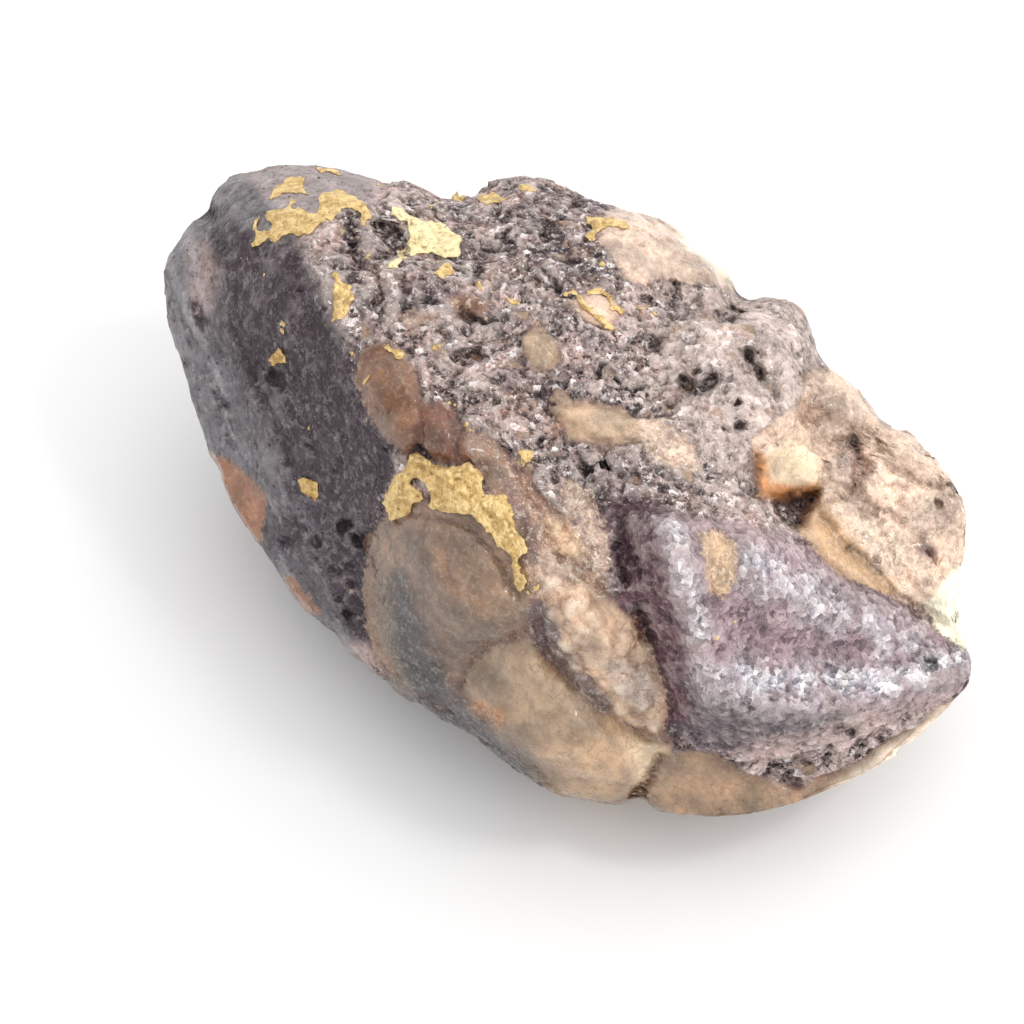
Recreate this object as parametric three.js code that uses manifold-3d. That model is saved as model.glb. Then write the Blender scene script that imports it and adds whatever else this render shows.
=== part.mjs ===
// Gold in rock: a waterworn lump of dark porous ironstone and tan quartz, grown together in one
// piece, with flakes and a leaf of native gold standing on its upper faces.
//
// Units are millimetres, +Z is up, the origin is the middle of the base and +X runs along the
// longest side. The stone's forms are placed on a chart of its upper faces: x to the right and
// y down in chart units, read along sight lines that meet at one sight point above the chart.

import * as THREE from "three";
import { ImprovedNoise } from "three/addons/math/ImprovedNoise.js";
import * as BufferGeometryUtils from "three/addons/utils/BufferGeometryUtils.js";
import Module from "manifold-3d";

// Driving dimensions.
const CHART_UNIT = 0.0552;                       // millimetres in one unit of the chart
const CHART_MIDDLE = [565, 490];                 // the chart's point under the sight point
const SIGHT_HEIGHT = 230;                        // from the chart's plane to the sight point
const CHART_LEAN = THREE.MathUtils.degToRad(35); // how far the chart leans from level
const CHART_TURN = THREE.MathUtils.degToRad(38.5); // brings the longest side along +X
const BASE_LEVEL = -12.2;                        // the flat base, below the chart's middle
const UNDERSIDE_DEPTH = 12.6;                    // how far the hidden side reaches behind the chart
const UNDERSIDE_DROP = 0.62;                     // how far the far side drops straight down
const FACE_BLEND = 0.8;                          // the rounding where two broad faces meet
const UPPER_SQUARENESS = 2.6;                    // 2 is an ellipse, more is boxier
const UNDERSIDE_SQUARENESS = 2.25;               // the same for the hidden side
const RIM_GROWTH = 0.10;                         // what the outline gains before it is worn round
const RIM_FADE = 0.14;                           // the share of the radius where relief dies out
const SURFACE_DETAIL = 18;                       // subdivisions of the starting icosahedron
const UPPER_SHARE = 0.25;                        // shifts triangles from the hidden to the upper side
const BARE_WEAR = 1;                             // rounds of wear over the bare form
const RELIEF_WEAR = 2;                           // rounds of wear over the form with its relief
const WEAR_SHARE = 0.45;                         // how far a place moves to its neighbours' middle
const GOLD_CLEARANCE = 0.28;                     // between the gold and the rock under it
const PRISM_REACH = 2.4;                         // how far a gold outline is cut along its sight lines

// The stone's outline on the chart, clockwise from its leftmost point.
const OUTLINE = [
  [163, 290], [179, 234], [217, 200], [226, 182], [252, 172], [281, 164], [321, 162], [379, 179],
  [432, 196], [451, 206], [476, 190], [507, 182], [536, 186], [571, 197], [635, 214], [669, 231],
  [708, 256], [730, 278], [738, 303], [768, 298], [800, 318], [816, 345], [808, 378], [840, 377],
  [858, 394], [875, 426], [901, 440], [933, 461], [960, 480], [968, 501], [967, 536], [955, 575],
  [946, 634], [970, 652], [976, 670], [962, 695], [930, 716], [901, 748], [872, 771], [826, 791],
  [785, 806], [739, 814], [698, 814], [654, 806], [635, 788], [611, 804], [582, 794], [530, 774],
  [478, 739], [403, 690], [350, 649], [318, 611], [298, 600], [287, 577], [258, 530], [231, 501],
  [223, 461], [205, 437], [194, 397], [179, 345], [165, 310],
];

// The broad faces: each is level `height` at its own point and climbs by `slope` along x and y.
const BROAD_FACES = [
  { name: "top", at: [565, 490], height: 11.2, slope: [-0.10, -0.45] },
  { name: "left", at: [335, 320], height: 8.2, slope: [1.20, 0.36] },
  { name: "front", at: [525, 595], height: 12.7, slope: [0.66, 0.62] },
  { name: "lower right", at: [800, 600], height: 10.8, slope: [-0.14, 0.46] },
  { name: "right", at: [815, 450], height: 8.2, slope: [-0.62, 0.10] },
  { name: "far", at: [560, 230], height: 5.0, slope: [0.02, -1.30] },
];

// Masses that stand above or below the broad faces, each inside its own outline.
const MASSES = [
  { name: "crown", rise: 0.9, edge: 3.0, outline: [[215, 215], [250, 180], [330, 172], [430, 200],
    [440, 260], [380, 300], [330, 310], [290, 260], [240, 260]] },
  { name: "knob", rise: 1.5, edge: 2.2, outline: [[668, 330], [700, 283], [745, 292], [800, 320],
    [822, 371], [806, 430], [765, 462], [715, 455], [680, 405]] },
  { name: "quartz block", rise: -2.2, edge: 1.6, outline: [[812, 368], [850, 370], [890, 425],
    [985, 470], [985, 600], [962, 650], [925, 612], [868, 575], [800, 532], [752, 505], [757, 462],
    [800, 440]] },
  { name: "block top", rise: 1.0, edge: 1.2, outline: [[820, 500], [850, 440], [900, 440],
    [975, 490], [975, 560], [950, 600], [900, 600], [868, 562]] },
  { name: "crevice", rise: -1.4, edge: 0.9, outline: [[762, 498], [822, 488], [812, 510], [796, 534],
    [778, 526]] },
  { name: "snout", rise: 1.9, edge: 2.0, outline: [[616, 520], [650, 508], [712, 520], [778, 530],
    [840, 566], [905, 602], [958, 640], [985, 672], [950, 710], [890, 730], [830, 760], [770, 770],
    [715, 755], [672, 705], [655, 640], [622, 590]] },
  { name: "front pebble", rise: 1.3, edge: 2.6, outline: [[390, 530], [430, 505], [480, 530],
    [515, 590], [528, 625], [495, 645], [462, 665], [450, 700], [400, 672], [372, 600]] },
  { name: "lower pebble", rise: 1.6, edge: 2.4, outline: [[468, 668], [500, 644], [530, 640],
    [570, 690], [640, 735], [668, 745], [655, 780], [612, 804], [545, 790], [470, 720]] },
  { name: "knotty quartz", rise: 0.9, edge: 1.6, outline: [[548, 600], [580, 588], [612, 612],
    [640, 640], [660, 700], [645, 725], [600, 700], [560, 655]] },
  { name: "brown quartz", rise: 0.7, edge: 1.4, outline: [[362, 362], [395, 345], [425, 372],
    [450, 410], [500, 440], [490, 470], [440, 455], [400, 445], [370, 410]] },
  { name: "pale almond", rise: 0.5, edge: 1.0, outline: [[552, 405], [590, 395], [640, 420],
    [688, 440], [670, 470], [600, 448], [562, 440]] },
  { name: "lens", rise: 0.5, edge: 0.9, outline: [[565, 300], [595, 288], [628, 310], [612, 332],
    [575, 322]] },
];

// Creases and low ridges: a line on the chart with its half width and its depth in millimetres.
const CREASES = [
  { name: "snout foot", width: 1.15, depth: 1.5, line: [[612, 515], [622, 560], [645, 610],
    [658, 680], [672, 725]] },
  { name: "pebble seam", width: 0.5, depth: 0.9, line: [[462, 668], [495, 643], [530, 628],
    [548, 655], [590, 702], [650, 738]] },
  { name: "saddle", width: 1.6, depth: 0.9, line: [[452, 190], [446, 230], [425, 290]] },
  { name: "leaf shelf", width: 0.7, depth: 0.5, line: [[392, 528], [440, 514], [480, 530],
    [508, 585]] },
  { name: "pebble notch", width: 0.8, depth: 1.2, line: [[648, 772], [640, 800]] },
  { name: "knob foot", width: 1.2, depth: 0.4, line: [[742, 285], [700, 300], [668, 345],
    [672, 400]] },
  { name: "snout crest", width: 1.5, depth: -0.9, line: [[676, 535], [690, 600], [708, 665],
    [765, 706], [860, 704], [952, 680]] },
  { name: "left rib", width: 1.2, depth: -0.8, line: [[282, 385], [268, 440], [300, 530],
    [330, 600]] },
  { name: "left hollow", width: 1.2, depth: 0.5, line: [[345, 500], [352, 560], [358, 610]] },
  { name: "rim fold", width: 1.1, depth: 0.6, line: [[232, 262], [225, 330], [238, 420]] },
];

// The largest pits: chart point, radius and depth in millimetres.
const PITS = [
  { name: "crown pit", at: [393, 235], radius: 0.9, depth: 1.0 },
  { name: "left pit", at: [275, 378], radius: 1.1, depth: 0.9 },
  { name: "kidney pit", at: [700, 382], radius: 1.1, depth: 1.1 },
  { name: "slot pit", at: [754, 364], radius: 0.9, depth: 1.1 },
  { name: "top pit", at: [672, 290], radius: 0.8, depth: 0.8 },
  { name: "middle pit", at: [469, 322], radius: 0.9, depth: 0.9 },
  { name: "snout pit", at: [925, 657], radius: 0.7, depth: 0.8 },
];

// Worn flats and swellings of the hidden sides, in the stone's own frame: a flat shaves what
// lies past `reach` along its direction, and a swelling adds height about its direction.
const WORN_FLATS = [
  { name: "back", facing: [-0.15, 0.93, -0.10], reach: 18.2 },
  { name: "back left", facing: [-0.78, 0.58, -0.12], reach: 21.4 },
  { name: "under back", facing: [0.20, 0.72, -0.66], reach: 14.8 },
  { name: "under right", facing: [0.82, 0.10, -0.56], reach: 17.4 },
  { name: "under front", facing: [-0.20, -0.70, -0.68], reach: 13.2 },
];
const FLAT_HARDNESS = 0.65;
const SWELLINGS = [
  { name: "back boss", facing: [0.42, 0.88, 0.20], spread: 0.30, height: 1.3 },
  { name: "back shoulder", facing: [-0.45, 0.88, -0.10], spread: 0.26, height: 1.1 },
  { name: "right heel", facing: [0.90, 0.38, -0.20], spread: 0.25, height: 1.0 },
];

// Native gold: outline on the chart and thickness in millimetres.
const GOLD = [
  { name: "big_leaf", thickness: 0.8, outline: [[385, 501], [390, 519], [410, 511], [414, 500],
    [427, 500], [430, 507], [456, 515], [474, 519], [490, 532], [506, 550], [512, 568], [518, 590],
    [525, 589], [526, 578], [519, 566], [519, 556], [527, 546], [519, 536], [510, 508], [506, 496],
    [485, 496], [483, 480], [474, 469], [469, 461], [450, 467], [432, 466], [418, 453], [411, 455],
    [402, 473], [388, 487]] },
  { name: "crown_upper_flake", thickness: 0.55, outline: [[267, 201], [275, 187], [288, 177],
    [307, 178], [303, 184], [308, 194], [290, 194], [275, 200]] },
  { name: "crown_lower_flake", thickness: 0.6, outline: [[254, 241], [256, 218], [266, 212],
    [284, 210], [294, 200], [294, 208], [316, 213], [326, 220], [312, 232], [290, 235], [274, 242],
    [262, 244]] },
  { name: "crown_middle_flake", thickness: 0.6, outline: [[322, 193], [340, 191], [366, 201],
    [370, 216], [364, 226], [352, 209], [338, 212], [330, 220], [318, 214]] },
  { name: "crown_rim_flake", thickness: 0.45, outline: [[312, 168], [322, 166], [342, 172],
    [346, 177], [330, 178], [318, 174]] },
  { name: "right_crown_flake", thickness: 0.65, outline: [[390, 207], [402, 207], [423, 220],
    [450, 228], [463, 238], [459, 257], [432, 253], [408, 255], [398, 268], [388, 267], [404, 246],
    [408, 226], [390, 217]] },
  { name: "right_crown_chip", thickness: 0.45, outline: [[433, 270], [448, 263], [457, 271],
    [443, 280], [436, 279]] },
  { name: "upright_flake", thickness: 0.55, outline: [[333, 274], [339, 273], [350, 284],
    [355, 298], [346, 320], [333, 322], [333, 300]] },
  { name: "triangle_fleck", thickness: 0.45, outline: [[277, 346], [286, 354], [288, 366],
    [269, 368]] },
  { name: "left_fleck", thickness: 0.5, outline: [[298, 479], [309, 478], [318, 487], [317, 500],
    [305, 496]] },
  { name: "quartz_fleck", thickness: 0.45, outline: [[380, 348], [389, 343], [406, 352],
    [400, 361], [388, 354]] },
  { name: "quartz_chip", thickness: 0.4, outline: [[365, 372], [373, 374], [369, 385],
    [361, 385]] },
  { name: "saddle_fleck", thickness: 0.45, outline: [[474, 198], [486, 192], [509, 196],
    [496, 204], [480, 204]] },
  { name: "far_right_flake", thickness: 0.5, outline: [[585, 216], [612, 217], [630, 222],
    [627, 229], [605, 230], [592, 243], [586, 240], [589, 228]] },
  { name: "lens_ridge", thickness: 0.45, outline: [[562, 290], [574, 289], [588, 303], [608, 317],
    [621, 320], [619, 330], [600, 322], [578, 304]] },
  { name: "lens_cap", thickness: 0.4, outline: [[588, 291], [604, 288], [614, 298], [626, 310],
    [612, 311], [599, 302]] },
  { name: "middle_fleck", thickness: 0.4, outline: [[474, 283], [482, 280], [487, 287],
    [480, 294]] },
  { name: "middle_sliver", thickness: 0.4, outline: [[502, 298], [521, 299], [519, 306],
    [505, 305]] },
  { name: "step_fleck", thickness: 0.45, outline: [[516, 453], [530, 449], [535, 458], [525, 468],
    [519, 464]] },
];

const NOISE_LAYERS = [
  { size: 7.0, height: 0.45 },
  { size: 2.6, height: 0.22 },
];

const noise = new ImprovedNoise();

/** Changes a chart point to millimetres right of and above the chart's middle. */
function toPlane([x, y]) {
  return new THREE.Vector2((x - CHART_MIDDLE[0]) * CHART_UNIT, (CHART_MIDDLE[1] - y) * CHART_UNIT);
}

/** Changes a whole chart outline or line to millimetres. */
function toPlaneLine(line) {
  return line.map(toPlane);
}

/** The distance from a point to the stretch between two others. */
function distanceToStretch(point, start, end) {
  const along = end.clone().sub(start);
  const reach = point.clone().sub(start).dot(along) / along.lengthSq();
  const foot = start.clone().addScaledVector(along, THREE.MathUtils.clamp(reach, 0, 1));
  return point.distanceTo(foot);
}

/** The distance from a point to the nearest stretch of an open line. */
function distanceToLine(point, line) {
  let nearest = Infinity;
  for (let i = 1; i < line.length; i += 1) {
    nearest = Math.min(nearest, distanceToStretch(point, line[i - 1], line[i]));
  }
  return nearest;
}

/** How deep a point lies inside a closed outline, negative outside it. */
function depthInside(point, outline) {
  let inside = false;
  for (let i = 0, j = outline.length - 1; i < outline.length; j = i, i += 1) {
    const [a, b] = [outline[i], outline[j]];
    const crosses = (a.y > point.y) !== (b.y > point.y);
    if (crosses && point.x < ((b.x - a.x) * (point.y - a.y)) / (b.y - a.y) + a.x) {
      inside = !inside;
    }
  }
  const distance = distanceToLine(point, [...outline, outline[0]]);
  return inside ? distance : -distance;
}

/** A radius for each direction from the chart's middle to the stone's smoothed outline. */
function outlineRadii(steps) {
  const corners = toPlaneLine(OUTLINE).map((p) => new THREE.Vector3(p.x, p.y, 0));
  const curve = new THREE.CatmullRomCurve3(corners, true, "centripetal");
  const radii = new Array(steps).fill(0);
  for (const p of curve.getPoints(steps * 6)) {
    const turn = Math.atan2(p.y, p.x) / (2 * Math.PI);
    const slot = Math.floor((turn - Math.floor(turn)) * steps) % steps;
    radii[slot] = Math.max(radii[slot], Math.hypot(p.x, p.y));
  }
  return radii;
}

const RADII = outlineRadii(720);

/** The outline's radius in one direction, between the two nearest of RADII. */
function outlineRadius(angle) {
  const turn = angle / (2 * Math.PI);
  const place = (turn - Math.floor(turn)) * RADII.length;
  const before = Math.floor(place) % RADII.length;
  const after = (before + 1) % RADII.length;
  return THREE.MathUtils.lerp(RADII[before], RADII[after], place - Math.floor(place));
}

/** The height of the turning edge between the upper faces and the hidden side. */
function rimHeight(point) {
  return -0.27 * point.y + 0.10 * point.x - 0.6;
}

/** The broad faces blended into one surface, rounded where two of them meet. */
function broadHeight(point) {
  let sum = 0;
  for (const face of BROAD_FACES) {
    const from = point.clone().sub(toPlane(face.at));
    const height = face.height + face.slope[0] * from.x + face.slope[1] * from.y;
    sum += Math.exp(-height / FACE_BLEND);
  }
  return -FACE_BLEND * Math.log(sum);
}

const PLACED_MASSES = MASSES.map((mass) => ({ ...mass, outline: toPlaneLine(mass.outline) }));
const PLACED_CREASES = CREASES.map((crease) => ({ ...crease, line: toPlaneLine(crease.line) }));
const PLACED_PITS = PITS.map((pit) => ({ ...pit, at: toPlane(pit.at) }));

/** What the masses, creases and pits add to the broad faces at one point. */
function reliefHeight(point) {
  let height = 0;
  for (const mass of PLACED_MASSES) {
    const depth = depthInside(point, mass.outline);
    height += mass.rise * THREE.MathUtils.smoothstep(depth, -mass.edge / 2, mass.edge);
  }
  for (const crease of PLACED_CREASES) {
    const away = distanceToLine(point, crease.line) / crease.width;
    height -= crease.depth * Math.exp(-away * away);
  }
  for (const pit of PLACED_PITS) {
    const away = point.distanceTo(pit.at) / pit.radius;
    height -= pit.depth * Math.exp(-away * away);
  }
  const reach = point.length() / outlineRadius(Math.atan2(point.y, point.x));
  return height * THREE.MathUtils.smoothstep(1 - reach, 0, RIM_FADE);
}

/** Layered noise at a place in millimetres. */
function layeredNoise(place) {
  let height = 0;
  for (const layer of NOISE_LAYERS) {
    const at = place.clone().divideScalar(layer.size);
    height += layer.height * noise.noise(at.x + 11.3, at.y + 4.7, at.z + 8.1);
  }
  return height;
}

/** Moves a place read square to the chart onto its sight line. */
function alongSight(place) {
  const near = (SIGHT_HEIGHT - place.z) / SIGHT_HEIGHT;
  return place.set(place.x * near, place.y * near, place.z);
}

/** The bare form in one direction from the chart's middle, in the chart's axes. */
function barePlace(direction) {
  direction.z += UPPER_SHARE;
  direction.normalize();
  const flat = Math.hypot(direction.x, direction.y);
  const angle = Math.atan2(direction.y, direction.x);
  const upper = direction.z > 0;
  const power = upper ? UPPER_SQUARENESS : UNDERSIDE_SQUARENESS;
  const tall = Math.abs(direction.z);
  const scale = (flat ** power + tall ** power) ** (-1 / power);
  const radius = flat * scale * (outlineRadius(angle) + RIM_GROWTH);
  const point = new THREE.Vector2(radius * Math.cos(angle), radius * Math.sin(angle));
  const rim = rimHeight(point);
  if (upper) {
    const rise = Math.max(broadHeight(point) - rim, 0.5);
    return alongSight(new THREE.Vector3(point.x, point.y, rim + tall * scale * rise));
  }
  const depth = tall * scale * UNDERSIDE_DEPTH;
  const drop = UNDERSIDE_DROP * (1 + flat * scale * Math.sin(angle)) / 2;
  return alongSight(new THREE.Vector3(point.x, point.y - drop * depth, rim - depth));
}

/** Turns a geometry from the chart's axes into the stone's own frame. */
function standUp(geometry) {
  geometry.rotateX(CHART_LEAN);
  geometry.rotateZ(CHART_TURN);
  return geometry;
}

/** Swells and shaves one place of the hidden sides, by how far that place is hidden. */
function wearHidden(place, hidden) {
  const facing = place.clone().normalize();
  for (const swelling of SWELLINGS) {
    const toward = new THREE.Vector3(...swelling.facing).normalize();
    const away = facing.distanceTo(toward) / swelling.spread;
    place.addScaledVector(toward, hidden * swelling.height * Math.exp(-away * away));
  }
  for (const flat of WORN_FLATS) {
    const toward = new THREE.Vector3(...flat.facing).normalize();
    const past = Math.max(place.dot(toward) - flat.reach, 0);
    place.addScaledVector(toward, -hidden * past * FLAT_HARDNESS);
  }
  return place;
}

/** Builds a geometry that keeps only merged positions and triangles. */
function bareGeometry(geometry) {
  geometry.deleteAttribute("normal");
  geometry.deleteAttribute("uv");
  return BufferGeometryUtils.mergeVertices(geometry, 1e-4);
}

/** Changes every vertex of a geometry with a function of its place and index. */
function mapPlaces(geometry, change) {
  const position = geometry.getAttribute("position");
  const place = new THREE.Vector3();
  for (let i = 0; i < position.count; i += 1) {
    place.fromBufferAttribute(position, i);
    const moved = change(place, i);
    position.setXYZ(i, moved.x, moved.y, moved.z);
  }
  geometry.computeVertexNormals();
  return geometry;
}

/** The neighbours of every vertex of an indexed geometry. */
function neighboursOf(geometry) {
  const neighbours = Array.from({ length: geometry.getAttribute("position").count }, () => new Set());
  const index = geometry.getIndex().array;
  for (let i = 0; i < index.length; i += 3) {
    for (let side = 0; side < 3; side += 1) {
      neighbours[index[i + side]].add(index[i + (side + 1) % 3]);
      neighbours[index[i + (side + 1) % 3]].add(index[i + side]);
    }
  }
  return neighbours;
}

/** Rounds of wear: in each, every place moves part of the way to its neighbours' middle. */
function wearDown(geometry, neighbours, rounds) {
  const other = new THREE.Vector3();
  for (let round = 0; round < rounds; round += 1) {
    const before = geometry.getAttribute("position").clone();
    mapPlaces(geometry, (place, i) => {
      const middle = new THREE.Vector3();
      neighbours[i].forEach((j) => middle.add(other.fromBufferAttribute(before, j)));
      return place.lerp(middle.divideScalar(neighbours[i].size), WEAR_SHARE);
    });
  }
}

/** Raises the relief along the chart's height wherever the form faces the chart. */
function raiseRelief(geometry) {
  const normal = geometry.getAttribute("normal").clone();
  return mapPlaces(geometry, (place, i) => {
    const facing = THREE.MathUtils.smoothstep(normal.getZ(i), 0.0, 0.4);
    const near = (SIGHT_HEIGHT - place.z) / SIGHT_HEIGHT;
    const point = new THREE.Vector2(place.x / near, place.y / near);
    return facing > 0 ? place.setZ(place.z + facing * reliefHeight(point)) : place;
  });
}

/** How far each vertex is hidden from the chart, from 0 to 1. */
function hiddenShares(geometry) {
  const normal = geometry.getAttribute("normal");
  return Array.from({ length: normal.count }, (_, i) => (
    THREE.MathUtils.smoothstep(-normal.getZ(i), 0.0, 0.6)
  ));
}

/** Roughens a geometry with layered noise along its normals. */
function roughen(geometry) {
  const normal = geometry.getAttribute("normal").clone();
  return mapPlaces(geometry, (place, i) => {
    const outward = new THREE.Vector3().fromBufferAttribute(normal, i);
    return place.addScaledVector(outward, layeredNoise(place));
  });
}

/** The rock: its bare form worn round, given its relief, stood up, roughened and set flat. */
function rockGeometry() {
  const geometry = bareGeometry(new THREE.IcosahedronGeometry(1, SURFACE_DETAIL));
  const neighbours = neighboursOf(geometry);
  mapPlaces(geometry, barePlace);
  wearDown(geometry, neighbours, BARE_WEAR);
  raiseRelief(geometry);
  const hidden = hiddenShares(geometry);
  standUp(geometry);
  mapPlaces(geometry, (place, i) => wearHidden(place, hidden[i]));
  wearDown(geometry, neighbours, RELIEF_WEAR);
  roughen(geometry);
  return mapPlaces(geometry, (place) => place.setZ(Math.max(place.z, BASE_LEVEL)));
}

/** The rock's surface moved outward by one distance. */
function grownGeometry(geometry, distance) {
  const normal = geometry.getAttribute("normal");
  return mapPlaces(geometry.clone(), (place, i) => {
    const outward = new THREE.Vector3().fromBufferAttribute(normal, i);
    return place.addScaledVector(outward, distance);
  });
}

/** The middle of an outline's corners. */
function middleOf(outline) {
  const sum = outline.reduce((total, corner) => total.add(corner), new THREE.Vector2());
  return sum.divideScalar(outline.length);
}

/** The surface height above the chart at one point of the upper faces. */
function chartHeight(point) {
  const out = Math.min(point.length() / outlineRadius(Math.atan2(point.y, point.x)), 1);
  const up = (1 - out ** UPPER_SQUARENESS) ** (1 / UPPER_SQUARENESS);
  const rim = rimHeight(point);
  return rim + up * (Math.max(broadHeight(point) - rim, 0.5) + reliefHeight(point));
}

/** A gold outline as a prism along its sight lines, reaching through the surface. */
function goldPrism(piece) {
  const outline = toPlaneLine(piece.outline);
  const shape = new THREE.Shape(outline);
  const height = chartHeight(middleOf(outline));
  const geometry = new THREE.ExtrudeGeometry(shape, { depth: 2 * PRISM_REACH, bevelEnabled: false });
  geometry.translate(0, 0, height - PRISM_REACH);
  return standUp(mapPlaces(bareGeometry(geometry), alongSight));
}

const wasm = await Module();
wasm.setup();

/** A solid for joining and cutting, from a closed geometry. */
function solidFrom(geometry) {
  const vertProperties = new Float32Array(geometry.getAttribute("position").array);
  const triVerts = new Uint32Array(geometry.getIndex().array);
  return new wasm.Manifold(new wasm.Mesh({ numProp: 3, vertProperties, triVerts }));
}

/** A geometry from a solid. */
function geometryFrom(solid) {
  const mesh = solid.getMesh();
  const geometry = new THREE.BufferGeometry();
  geometry.setAttribute("position", new THREE.BufferAttribute(mesh.vertProperties, 3));
  geometry.setIndex(new THREE.BufferAttribute(mesh.triVerts, 1));
  geometry.computeVertexNormals();
  return geometry;
}

/** One gold piece: its prism's share of a skin that follows the rock. */
function goldGeometry(piece, rock) {
  const outer = solidFrom(grownGeometry(rock, GOLD_CLEARANCE + piece.thickness));
  const inner = solidFrom(grownGeometry(rock, GOLD_CLEARANCE));
  const prism = solidFrom(goldPrism(piece));
  return geometryFrom(outer.intersect(prism).subtract(inner));
}

/** Porous ironstone with tan quartz in it. */
function rockMaterial() {
  return new THREE.MeshStandardMaterial({ color: 0x7d7172, roughness: 0.75, metalness: 0 });
}

/** Soft yellow native gold. */
function goldMaterial() {
  return new THREE.MeshStandardMaterial({ color: 0xd9b45c, roughness: 0.4, metalness: 1 });
}

/** The stone and its gold, seated with the middle of the base at the origin. */
function specimen() {
  const rock = rockGeometry();
  const group = new THREE.Group();
  const addPiece = (name, geometry, material) => {
    const mesh = new THREE.Mesh(geometry, material);
    mesh.name = name;
    group.add(mesh);
  };
  addPiece("rock", rock, rockMaterial());
  for (const piece of GOLD) {
    addPiece(`gold_${piece.name}`, goldGeometry(piece, rock), goldMaterial());
  }
  const box = new THREE.Box3().setFromObject(group);
  const middle = box.getCenter(new THREE.Vector3());
  group.position.set(-middle.x, -middle.y, -box.min.z);
  return group;
}

export default specimen();
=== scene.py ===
"""The finish of a gold in rock specimen: a waterworn lump of dark porous ironstone and tan quartz,
with a leaf, flakes and crumbs of native gold standing on its upper faces.

Lengths in the tables are millimetres, and places on the stone are read on the chart of its upper
faces: x to the right and y down in chart units, along sight lines that meet at one point. Meshes
are built in metres in the row's frame, +Z up, with the flat base on the level of the floor.
"""

from __future__ import annotations

import logging
import math
from collections.abc import Iterator
from dataclasses import dataclass, field
from enum import Enum

import bmesh
import bpy
import numpy as np
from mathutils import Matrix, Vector
from mathutils.bvhtree import BVHTree


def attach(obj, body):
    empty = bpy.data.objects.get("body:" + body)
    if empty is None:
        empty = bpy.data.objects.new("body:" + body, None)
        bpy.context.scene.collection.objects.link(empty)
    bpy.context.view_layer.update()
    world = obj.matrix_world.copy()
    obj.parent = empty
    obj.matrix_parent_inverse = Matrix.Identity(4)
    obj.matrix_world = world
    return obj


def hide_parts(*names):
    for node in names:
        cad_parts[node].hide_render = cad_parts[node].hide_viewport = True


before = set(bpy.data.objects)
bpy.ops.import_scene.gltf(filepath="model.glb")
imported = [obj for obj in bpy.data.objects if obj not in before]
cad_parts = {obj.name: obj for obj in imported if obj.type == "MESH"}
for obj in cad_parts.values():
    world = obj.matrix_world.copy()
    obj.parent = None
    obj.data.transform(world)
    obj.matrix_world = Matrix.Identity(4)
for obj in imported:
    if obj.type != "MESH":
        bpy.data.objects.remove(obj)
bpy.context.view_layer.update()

MM = 0.001
TINY = 1e-9
MERGE_DISTANCE = 0.002
BODY = "root"
log = logging.getLogger("specimen")

Array = np.ndarray
Pair = tuple[float, float]
Triple = tuple[float, float, float]
Outline = tuple[Pair, ...]
Material = bpy.types.Material
Node = bpy.types.Node
Object = bpy.types.Object
Socket = bpy.types.NodeSocket
Tree = bpy.types.NodeTree


def smoothstep(values: Array, low: float, high: float) -> Array:
    """A share for each value that rises smoothly from 0 at low to 1 at high."""
    share = np.clip((values - low) / (high - low), 0.0, 1.0)
    return share * share * (3.0 - 2.0 * share)


def bell(distance: Array, width: float) -> Array:
    """A rounded hump that is 1 at no distance and dies out past about two widths."""
    return np.exp(-((distance / width) ** 2))


def toward(tint: Array, share: Array, target: Array) -> Array:
    """Moves each vertex's colour towards a target colour by its own share."""
    return tint + share[:, None] * (target - tint)


def linear(red: float, green: float, blue: float) -> Triple:
    """A display colour, from 0 to 255, as the linear colour that shaders take."""
    shares = (channel / 255.0 for channel in (red, green, blue))
    return tuple(s / 12.92 if s <= 0.04045 else ((s + 0.055) / 1.055) ** 2.4 for s in shares)


class Tint(Enum):
    """The named colours of the stone, before light and grain."""

    PLUM = linear(52, 38, 46)
    WINE = linear(104, 74, 82)
    SLATE = linear(136, 134, 137)
    LILAC = linear(158, 136, 130)
    ASH = linear(182, 164, 156)
    SOOT = linear(92, 75, 78)
    # The painted sheen of the snout's bright bands.
    STEEL = linear(188, 188, 196)
    ROSE = linear(198, 172, 166)
    DULL_PLUM = linear(150, 127, 132)
    SMOKE = linear(104, 94, 99)
    RUST = linear(146, 104, 80)
    MAROON = linear(96, 74, 76)
    VEIL = linear(46, 43, 45)
    GREY_TAN = linear(120, 96, 78)
    WARM_TAN = linear(141, 116, 92)
    SEAM = linear(112, 78, 66)
    PEACH = linear(208, 180, 158)
    PINK_TAN = linear(206, 180, 160)
    CREAM = linear(252, 244, 216)
    SHELL = linear(246, 226, 204)
    PALE_TAN = linear(163, 139, 113)
    KNOT = linear(198, 168, 142)
    BROWN = linear(104, 64, 34)
    UMBER = linear(90, 38, 6)
    AMBER = linear(194, 161, 127)
    ORANGE = linear(192, 124, 58)
    SAND = linear(160, 128, 106)
    IVORY = linear(222, 198, 166)
    BLUSH = linear(126, 104, 100)

    @property
    def colour(self) -> Array:
        """The colour as an array."""
        return np.array(self.value)


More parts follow.
